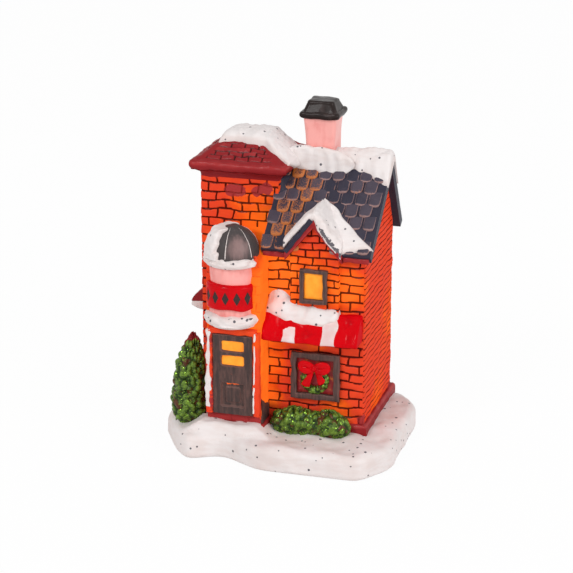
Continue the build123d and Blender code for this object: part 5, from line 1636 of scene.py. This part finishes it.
def fir(sizes):
    """Fir: a column of leaf tufts in five loose tiers that draws in to a blunt, bare tip leaning inwards."""
    share, turn = grid(np.linspace(0, 0.99, 110), full_turn(132))
    tier = (share * 5) % 1
    radius = tree_radius * (1 - share ** 3.2) ** 0.8 * (1 - 0.07 * tier)
    radius = radius * (0.72 + 0.28 * smooth(share, 0.0, 0.14))
    around = 17
    height = tree_foot + share * (tree_tip - 0.6 * mm - tree_foot)
    tuft, tone = buds(turn / (2 * pi) * around, height / sizes.leaf_pitch, 131, around)
    out = 1.35 * sizes.leaf_depth * (tuft - 0.62)
    wave = ripples(spread(np.cos(turn), np.sin(turn), share) * 8 * mm, 9 * mm, 132)
    points = spread(tree[0] + 1.8 * mm * share ** 2 + (radius + out) * np.cos(turn),
                    tree[1] + (radius + out) * np.sin(turn), height + 0.5 * out + 0.5 * mm * wave)
    return stack(points, tuft=tuft, tone=tone, bare=smooth(share + 0.05 * wave, 0.9, 0.96))


shrub_places = np.array([0.0, 0.2, 0.4, 0.62, 0.82, 1.0])
shrub_sizes = np.array([0.84, 1.0, 0.94, 0.88, 1.0, 0.8])


def shrubs(sizes):
    """Row of round shrubs against the front wall."""
    radius = 4.6 * mm
    middles = main_left + 1.0 * mm + radius + shrub_places * (27.0 * mm - 2 * radius)
    y, rise = house_front - 3.2 * mm, 3.2 * mm
    shape = np.array([1, 0.95, 1.0])
    return [
        bush((x, y, ground + rise * share), radius * share * shape, sizes, 140 + k, 40, 84, -0.75)
        for k, (x, share) in enumerate(zip(middles, shrub_sizes))
    ]


# Base

base_half = np.array([38.0, 30.0]) * mm
# Corners of the base as shares of its half width and half depth
base_shares = np.array([
    (-1, 0.70), (-1, -0.28), (-0.81, -0.74), (-0.66, -0.93), (-0.40, -0.75), (-0.05, -1), (0.80, -1),
    (1, -0.62), (1, 0.62), (0.80, 1), (-0.70, 1),
])
light_mid = np.array([2.0, 8.5]) * mm
cup_hole, flange_hole = 15.3 * mm, 17.5 * mm
flange_step = 2.0 * mm


def base_outline():
    """Plan of the base: its corner outline walked at an even pace and rounded by a moving average."""
    corners = base_shares * base_half
    closed = np.concatenate([corners, corners[:1]])
    walked = np.concatenate([[0], np.cumsum(np.linalg.norm(np.diff(closed, axis=0), axis=1))])
    even = np.linspace(0, walked[-1], 321)[:-1]
    outline = np.stack([np.interp(even, walked, closed[:, k]) for k in (0, 1)], axis=1)
    span = 4
    rounded = sum(np.roll(outline, k, axis=0) for k in range(-span, span + 1)) / (2 * span + 1)
    return sum(np.roll(rounded, k, axis=0) for k in range(-2, 3)) / 5


def base_surface(sizes):
    """Snowy base with the lamp's hole: rings from the hole over the top, down the side and underneath."""
    outer = base_outline()
    ahead = np.roll(outer, -1, axis=0) - np.roll(outer, 1, axis=0)
    ahead /= np.linalg.norm(ahead, axis=1)[:, None]
    out = np.stack([ahead[:, 1], -ahead[:, 0]], axis=1)
    out *= np.sign((out * outer).sum(axis=1).mean())
    toward = outer - light_mid
    toward /= np.linalg.norm(toward, axis=1)[:, None]
    plan, height = [], []
    steps = (flange_hole, 0.0), (flange_hole, flange_step), (cup_hole, flange_step), (cup_hole, ground)
    for radius, level in steps:
        plan.append(light_mid + radius * toward)
        height.append(level)
    shoulder = 3.0 * mm
    inner, edge = light_mid + cup_hole * toward, outer - shoulder * out
    for share in np.linspace(0, 1, 30)[1:]:
        plan.append(inner + share * (edge - inner))
        height.append(ground)
    for turn in np.linspace(0, pi / 2, 10)[1:]:
        plan.append(edge + shoulder * sin(turn) * out)
        height.append(ground - shoulder * (1 - cos(turn)))
    foot = 1.8 * mm
    for turn in np.linspace(0, pi / 2, 6):
        plan.append(outer - foot * (1 - cos(turn)) * out)
        height.append(foot * (1 - sin(turn)))
    plan, height = np.array(plan), np.array(height)[:, None] + 0 * toward[:, 0]
    points = spread(plan[..., 0], plan[..., 1], height)
    beside, before = np.abs(plan[..., 0] - bay_mid + 1.3 * mm), np.abs(plan[..., 1] - bay_front)
    away = np.maximum(beside / (13.5 * mm), before / (5.2 * mm))
    top = smooth(height, 0.4 * ground, 0.95 * ground) * (np.arange(len(plan)) > 3)[:, None]
    bank = 3.2 * mm * (1 - smooth(away, 0.62, 1.15)) * top
    outside = smooth(np.linalg.norm(plan - light_mid, axis=-1), 20 * mm, 26 * mm)
    swell = 1.3 * ripples(points, 11 * mm, 151) + 0.5 * ripples(points, 4 * mm, 152)
    swell = sizes.snow_lumps * swell * outside
    face = np.concatenate([out[None] * 0, np.repeat(out[None], len(plan) - 1, axis=0)])
    side = 1 - smooth(height, 0.55 * ground, ground)
    lift = swell * smooth(height, 0.0, 0.2 * ground)
    points[..., :2] += (lift * side)[..., None] * face - 0.3 * mm * (side * outside)[..., None] * face
    points[..., 2] += lift * (1 - side) + bank
    return ring(points, thin=0.2 + 0 * swell, scrape=0 * swell)


# Operators


def house_sizes():
    """Sizes set in the sidebar."""
    return bpy.context.scene.village_house_sizes


def glazes():
    """Colours set in the sidebar."""
    return bpy.context.scene.village_house_colours


finish_makers = {
    "brick_glaze": brick_finish, "crimson_glaze": crimson_finish, "slate_glaze": slate_finish,
    "snow_slip": snow_finish, "pink_glaze": pink_finish, "cap_glaze": black_finish, "dome_glaze": dome_finish,
    "red_paint": red_finish, "awning_paint": awning_finish, "joinery_charcoal": joinery_finish,
    "amber_pane": amber_finish, "shop_pane_shaded": shaded_shop_finish, "leaf_glitter": leaf_finish,
}


def finish(name):
    """The named material, made the first time that it is asked for."""
    return bpy.data.materials.get(name) or finish_makers[name](glazes())


def snow_piece(name, shells, *nodes):
    """A soft-edged piece of the white slip."""
    piece(name, shells, "snow_slip", nodes, sharp=60)


class HousePiece:
    """Shared by the operators: runs the builder, which raises an error where it can't finish."""

    bl_options = {"REGISTER", "UNDO"}

    def execute(self, context):
        self.build(house_sizes())
        return {"FINISHED"}


class BuildWalls(HousePiece, bpy.types.Operator):
    """Brick walls, the bay's round top and the skirt at their foot"""

    bl_idname = "village_house.walls"
    bl_label = "Walls"

    def build(self, sizes):
        shells = wall_panels(sizes)
        # Three pieces, so that none has too many faces
        walls = {
            "brick_walls": shells[:4] + [bay_barrel()], "side_walls": shells[4:6], "tower_walls": shells[6:],
        }
        for name, panels in walls.items():
            piece(name, panels, "brick_glaze", ["house_walls"])
        piece("plinth", [plinth_ring()], "crimson_glaze")


class BuildMainRoof(HousePiece, bpy.types.Operator):
    """Deck, shingles, eave boards and ridge snow of the main roof"""

    bl_idname = "village_house.main_roof"
    bl_label = "Main roof"

    def build(self, sizes):
        piece("roof_deck", [roof_deck()], "slate_glaze", ["main_roof"])
        piece("shingles_front", [shingles(sizes, 7, False, 44)], "slate_glaze")
        piece("shingles_back", [shingles(sizes, 5, True, 46)], "slate_glaze")
        piece("eave_boards", eave_boards(), "crimson_glaze")
        snow_piece("ridge_snow", [ridge_snow(sizes)], "roof_snow")


class BuildTowerRoof(HousePiece, bpy.types.Operator):
    """Cornice, tiled hip and snow mound of the tower"""

    bl_idname = "village_house.tower_roof"
    bl_label = "Tower roof"

    def build(self, sizes):
        piece("tower_cornice", [tower_roof()], "crimson_glaze", ["tower_roof"])
        snow_piece("tower_mound", [tower_snow(sizes)], "tower_snow")


class BuildChimney(HousePiece, bpy.types.Operator):
    """Pink stack, black cap and the snow heaped before them"""

    bl_idname = "village_house.chimney"
    bl_label = "Chimney"

    def build(self, sizes):
        piece("chimney_drift", [chimney_drift()], "snow_slip")
        piece("stack", [chimney_stack()], "pink_glaze", ["chimney_stack"])
        piece("stack_cap", [chimney_cap()], "cap_glaze", ["chimney_cap"])


class BuildDormer(HousePiece, bpy.types.Operator):
    """Gabled wall, bargeboards, slate verge, and snow with its drift"""

    bl_idname = "village_house.dormer"
    bl_label = "Dormer"

    def build(self, sizes):
        piece("dormer_bricks", [dormer_walls(sizes)], "brick_glaze", ["dormer_wall"])
        piece("bargeboards", [bargeboards()], "crimson_glaze", ["dormer_roof"])
        piece("dormer_verge", [dormer_verge()], "slate_glaze")
        snow_piece("dormer_blanket", [dormer_blanket(sizes), dormer_drift(sizes)], "dormer_snow")


class BuildWindows(HousePiece, bpy.types.Operator):
    """Both window frames and their panes"""

    bl_idname = "village_house.windows"
    bl_label = "Windows"

    def build(self, sizes):
        windows = (
            ("dormer", dormer_window, dormer_window_half, dormer_front, 1.4, 0.7, 160, "amber_pane"),
            ("shop", shop_window, shop_window_half, house_front, 2.0, 0.6, 164, "shop_pane_shaded"),
        )
        for name, middle, half, face, border, thick, seed, pane in windows:
            strip = frame_ring(middle, half, border * mm, face, frame_thick, seed)
            glass = pillow(middle, half - (border * mm - frame_lap), face, thick * mm, seed + 1)
            piece(name + "_frame", [strip], "joinery_charcoal", [name + "_window_frame"])
            piece(name + "_glass", [glass], pane, [name + "_window_pane"])


class BuildWreath(HousePiece, bpy.types.Operator):
    """Wreath and its bow on the shop window"""

    bl_idname = "village_house.wreath"
    bl_label = "Wreath and bow"

    def build(self, sizes):
        piece("leaf_wreath", [wreath_ring(sizes)], "leaf_glitter", ["wreath"])
        piece("ribbon_bow", bow(), "red_paint", ["bow"], sharp=60)


class BuildAwning(HousePiece, bpy.types.Operator):
    """Striped awning and the snow on it"""

    bl_idname = "village_house.awning"
    bl_label = "Awning"

    def build(self, sizes):
        piece("striped_awning", [awning_shell()], "awning_paint", ["awning"])
        snow_piece("awning_heap", [awning_snow(sizes)], "awning_snow")


class BuildDoor(HousePiece, bpy.types.Operator):
    """Door leaf, its two panes, the streaked surround and the dark run beside it"""

    bl_idname = "village_house.door"
    bl_label = "Door"

    def build(self, sizes):
        panes = [
            pillow(np.array([door_mid, (low + high) / 2]), np.array([pane_half, (high - low) / 2]),
                   bay_front - 0.55 * mm, 0.45 * mm, 170)
            for low, high in door_panes
        ]
        piece("door_leaf", [door_leaf()], "joinery_charcoal", ["door"])
        piece("door_glass", panes, "amber_pane", ["door_panes"])
        piece("door_frame", door_frame(), "brick_glaze", ["door_surround"], sharp=60)
        snow_piece("door_streaks", door_streaks())
        piece("dark_run", [dark_run()], "joinery_charcoal")


class BuildOriel(HousePiece, bpy.types.Operator):
    """Drum, blank sign band, snow rolls and dome over the door"""

    bl_idname = "village_house.oriel"
    bl_label = "Corner oriel"

    def build(self, sizes):
        lumps = 1.3 * sizes.snow_lumps
        piece("drum", [drum()], "pink_glaze", ["oriel_drum"])
        piece("sign", [sign()], "red_paint", ["sign_band"])
        snow_piece("ledge_roll", [snow_roll(*ledge_snow, 110, lumps)], "oriel_ledge")
        snow_piece("rim_roll", [snow_roll(*rim_snow, 114, lumps)], "oriel_rim")
        piece("dome", [dome()], "dome_glaze", ["oriel_dome"])
        snow_piece("dome_cap", [dome_cap(sizes)], "dome_snow")


class BuildHood(HousePiece, bpy.types.Operator):
    """Small hood on the tower's left wall with a white lip"""

    bl_idname = "village_house.hood"
    bl_label = "Side hood"

    def build(self, sizes):
        tile = hood_bar(hood_outline, 0.2 * mm, 175, edge=0.25)
        lip = hood_bar(lip_outline, sizes.snow_lumps, 177, thin=0.3, scrape=0.1)
        piece("hood_tile", [tile], "crimson_glaze", ["side_hood"])
        snow_piece("hood_lip", [lip], "hood_lip_snow")


class BuildPlanting(HousePiece, bpy.types.Operator):
    """Fir by the door and shrubs under the shop window"""

    bl_idname = "village_house.planting"
    bl_label = "Planting"

    def build(self, sizes):
        piece("fir", [fir(sizes)], "leaf_glitter", ["fir_tree"], sharp=60)
        piece("shrub_row", shrubs(sizes), "leaf_glitter", ["shrubs"], sharp=60)


class BuildBase(HousePiece, bpy.types.Operator):
    """Snow-covered base with the lamp's hole underneath"""

    bl_idname = "village_house.base"
    bl_label = "Base"

    def build(self, sizes):
        piece("snow_base", [base_surface(sizes)], "snow_slip", ["ground_base"], sharp=50)


# Light unit: solids, main and second colour, size of the clouds in millimetres, and fixed values
light_finishes = {
    "shell_white": (
        ("light_plate", "light_cup", "battery_cover"), (0.72, 0.70, 0.66), (0.66, 0.64, 0.60), 6.0,
        {"Roughness": 0.42}),
    "grip_rubber": (
        ("grip_ring",), (0.03, 0.03, 0.032), (0.05, 0.05, 0.05), 1.2, {"Roughness": 0.75}),
    "cell_steel": (
        ("coin_cell", "plate_screws", "led_legs"), (0.62, 0.61, 0.59), (0.52, 0.51, 0.50), 1.5,
        {"Roughness": 0.28, "Metallic": 1.0}),
    "contact_brass": (
        ("contact_plus", "contact_minus"), (0.72, 0.50, 0.20), (0.62, 0.40, 0.14), 1.2,
        {"Roughness": 0.3, "Metallic": 1.0}),
    "board_green": (
        ("circuit_board",), (0.02, 0.16, 0.05), (0.03, 0.22, 0.07), 2.0,
        {"Roughness": 0.35, "Coat Weight": 0.5}),
    "lamp_lens": (
        ("led",), (0.95, 0.75, 0.42), (0.98, 0.85, 0.6), 1.5,
        {"Roughness": 0.2, "Coat Weight": 1.0,
         "Emission Color": (1.0, 0.62, 0.22), "Emission Strength": 0.5}),
    "switch_black": (
        ("switch_case",), (0.02, 0.02, 0.022), (0.035, 0.035, 0.037), 1.0, {"Roughness": 0.5}),
    "knob_grey": (
        ("switch_knob",), (0.10, 0.10, 0.11), (0.14, 0.14, 0.15), 0.8, {"Roughness": 0.55}),
}


class DressLight(HousePiece, bpy.types.Operator):
    """Finishes of the lamp unit, whose solids stay as they are"""

    bl_idname = "village_house.light_unit"
    bl_label = "Light unit"

    def build(self, sizes):
        for name, (nodes, body, accent, size, constants) in light_finishes.items():
            material = bpy.data.materials.get(name) or plain_finish(name, body, accent, size * mm, constants)
            for node in nodes:
                for place in bpy.data.objects[node].material_slots:
                    place.material = material


# Stage

camera_place = np.array([162.48, -566.18, 247.39]) * mm
camera_target = np.array([2.188, -10.0, 53.70]) * mm
camera_lens = 125.65
camera_reach = 20.0
# Just under the base, and open a little inside its outline, so that views from below show the light unit
floor_level = -0.02 * mm
floor_opening = 0.94
floor_reach = 4.0
floor_glow = 0.96
sky_strength = 0.55
# Lamps: name, place, size and power
lamps = (
    ("key", (-0.5, -1.1, 1.0), 0.5, 7.8),
    ("fill", (1.0, -0.5, 0.5), 0.8, 5.6),
    ("top", (0.0, 0.3, 1.2), 0.8, 0.6),
)
lamp_target = (0.0, 0.0, 45 * mm)


def aim(made, place, target):
    """Puts a light or camera at a place, turned to look at a target."""
    made.location = place
    made.rotation_euler = (Vector(target) - Vector(place)).to_track_quat("-Z", "Y").to_euler()


def floor_finish():
    """White floor: seen directly it mostly glows at strength 1, so that only a soft shadow shows on it."""
    paint = Paint("floor_white", {
        "Base Color": (0.92, 0.92, 0.92), "Roughness": 0.9, "Specular IOR Level": 0.0})
    light = paint.tree.nodes.new("ShaderNodeLightPath")
    seen = Link(paint, light.outputs["Is Camera Ray"])
    glossy = Link(paint, light.outputs["Is Glossy Ray"])
    glow = paint.node("ShaderNodeEmission", {}, {"Color": (1.0, 1.0, 1.0), "Strength": 1.0})
    body = Link(paint, paint.shader.outputs[0])
    shown = paint.math("MAXIMUM", floor_glow * seen, glossy)
    mixed = paint.node("ShaderNodeMixShader", {}, {0: shown, 1: body, 2: glow})
    paint.tree.links.new(mixed.socket, paint.tree.nodes["Material Output"].inputs["Surface"])
    return paint.material


def soft_box(name, place, size, power):
    """A large soft lamp aimed at the middle of the house."""
    lamp = bpy.data.lights.new(name, "AREA")
    lamp.shape = "DISK"
    lamp.size = size
    lamp.energy = power
    made = bpy.data.objects.new(name, lamp)
    bpy.context.scene.collection.objects.link(made)
    aim(made, place, lamp_target)


def lay_floor(scene):
    """A level ring from a little inside the base's outline to far away."""
    inner = floor_opening * base_outline()
    outer = floor_reach * inner / np.linalg.norm(inner, axis=1)[:, None]
    plan = np.concatenate([inner, outer])
    points = np.column_stack([plan, np.full(len(plan), floor_level)])
    mesh = bpy.data.meshes.new("floor")
    mesh.from_pydata(points.tolist(), [], quads(2, len(inner), False, True).tolist())
    mesh.materials.append(floor_finish())
    floor = bpy.data.objects.new("floor", mesh)
    scene.collection.objects.link(floor)


def light_sky(scene):
    """White surround: plain light on the house, and full white where it is seen or reflected."""
    world = bpy.data.worlds.new("studio")
    world.use_nodes = True
    scene.world = world
    tree = world.node_tree
    sky = tree.nodes["Background"]
    path = tree.nodes.new("ShaderNodeLightPath")
    shown = tree.nodes.new("ShaderNodeMath")
    shown.operation = "MAXIMUM"
    tree.links.new(path.outputs["Is Camera Ray"], shown.inputs[0])
    tree.links.new(path.outputs["Is Glossy Ray"], shown.inputs[1])
    level = tree.nodes.new("ShaderNodeMapRange")
    level.inputs["To Min"].default_value = sky_strength
    level.inputs["To Max"].default_value = 1.0
    tree.links.new(shown.outputs[0], level.inputs["Value"])
    tree.links.new(level.outputs[0], sky.inputs["Strength"])
    sky.inputs["Color"].default_value = (1.0, 1.0, 1.0, 1.0)


class BuildStage(bpy.types.Operator):
    """Pale floor, soft lamps, white surround and the camera"""

    bl_idname = "village_house.stage"
    bl_label = "Stage"

    def execute(self, context):
        scene = context.scene
        scene.view_settings.view_transform = "Standard"
        lay_floor(scene)
        light_sky(scene)
        for lamp in lamps:
            soft_box(*lamp)
        camera = bpy.data.cameras.new("camera")
        camera.lens = camera_lens
        camera.clip_end = camera_reach
        made = bpy.data.objects.new("camera", camera)
        scene.collection.objects.link(made)
        aim(made, camera_place, camera_target)
        scene.camera = made
        return {"FINISHED"}


builders = (
    BuildWalls, BuildMainRoof, BuildTowerRoof, BuildChimney, BuildDormer, BuildWindows, BuildWreath,
    BuildAwning, BuildDoor, BuildOriel, BuildHood, BuildPlanting, BuildBase, DressLight, BuildStage,
)


class VillageHousePanel(bpy.types.Panel):
    """Sizes, colours and one button for each group of pieces"""

    bl_label = "Village House"
    bl_idname = "VIEW3D_PT_village_house"
    bl_space_type = "VIEW_3D"
    bl_region_type = "UI"
    bl_category = "Village House"

    def draw(self, context):
        for group in (context.scene.village_house_sizes, context.scene.village_house_colours):
            for name in group.__annotations__:
                self.layout.prop(group, name)
        for builder in builders:
            self.layout.operator(builder.bl_idname)


classes = (HouseSizes, GlazeColours, *builders, VillageHousePanel)


def register():
    for each in classes:
        bpy.utils.register_class(each)
    bpy.types.Scene.village_house_sizes = PointerProperty(type=HouseSizes)
    bpy.types.Scene.village_house_colours = PointerProperty(type=GlazeColours)


def unregister():
    del bpy.types.Scene.village_house_colours
    del bpy.types.Scene.village_house_sizes
    for each in reversed(classes):
        bpy.utils.unregister_class(each)


def main():
    register()
    for builder in builders:
        group, name = builder.bl_idname.split(".")
        getattr(getattr(bpy.ops, group), name)()


if __name__ == "__main__":
    main()
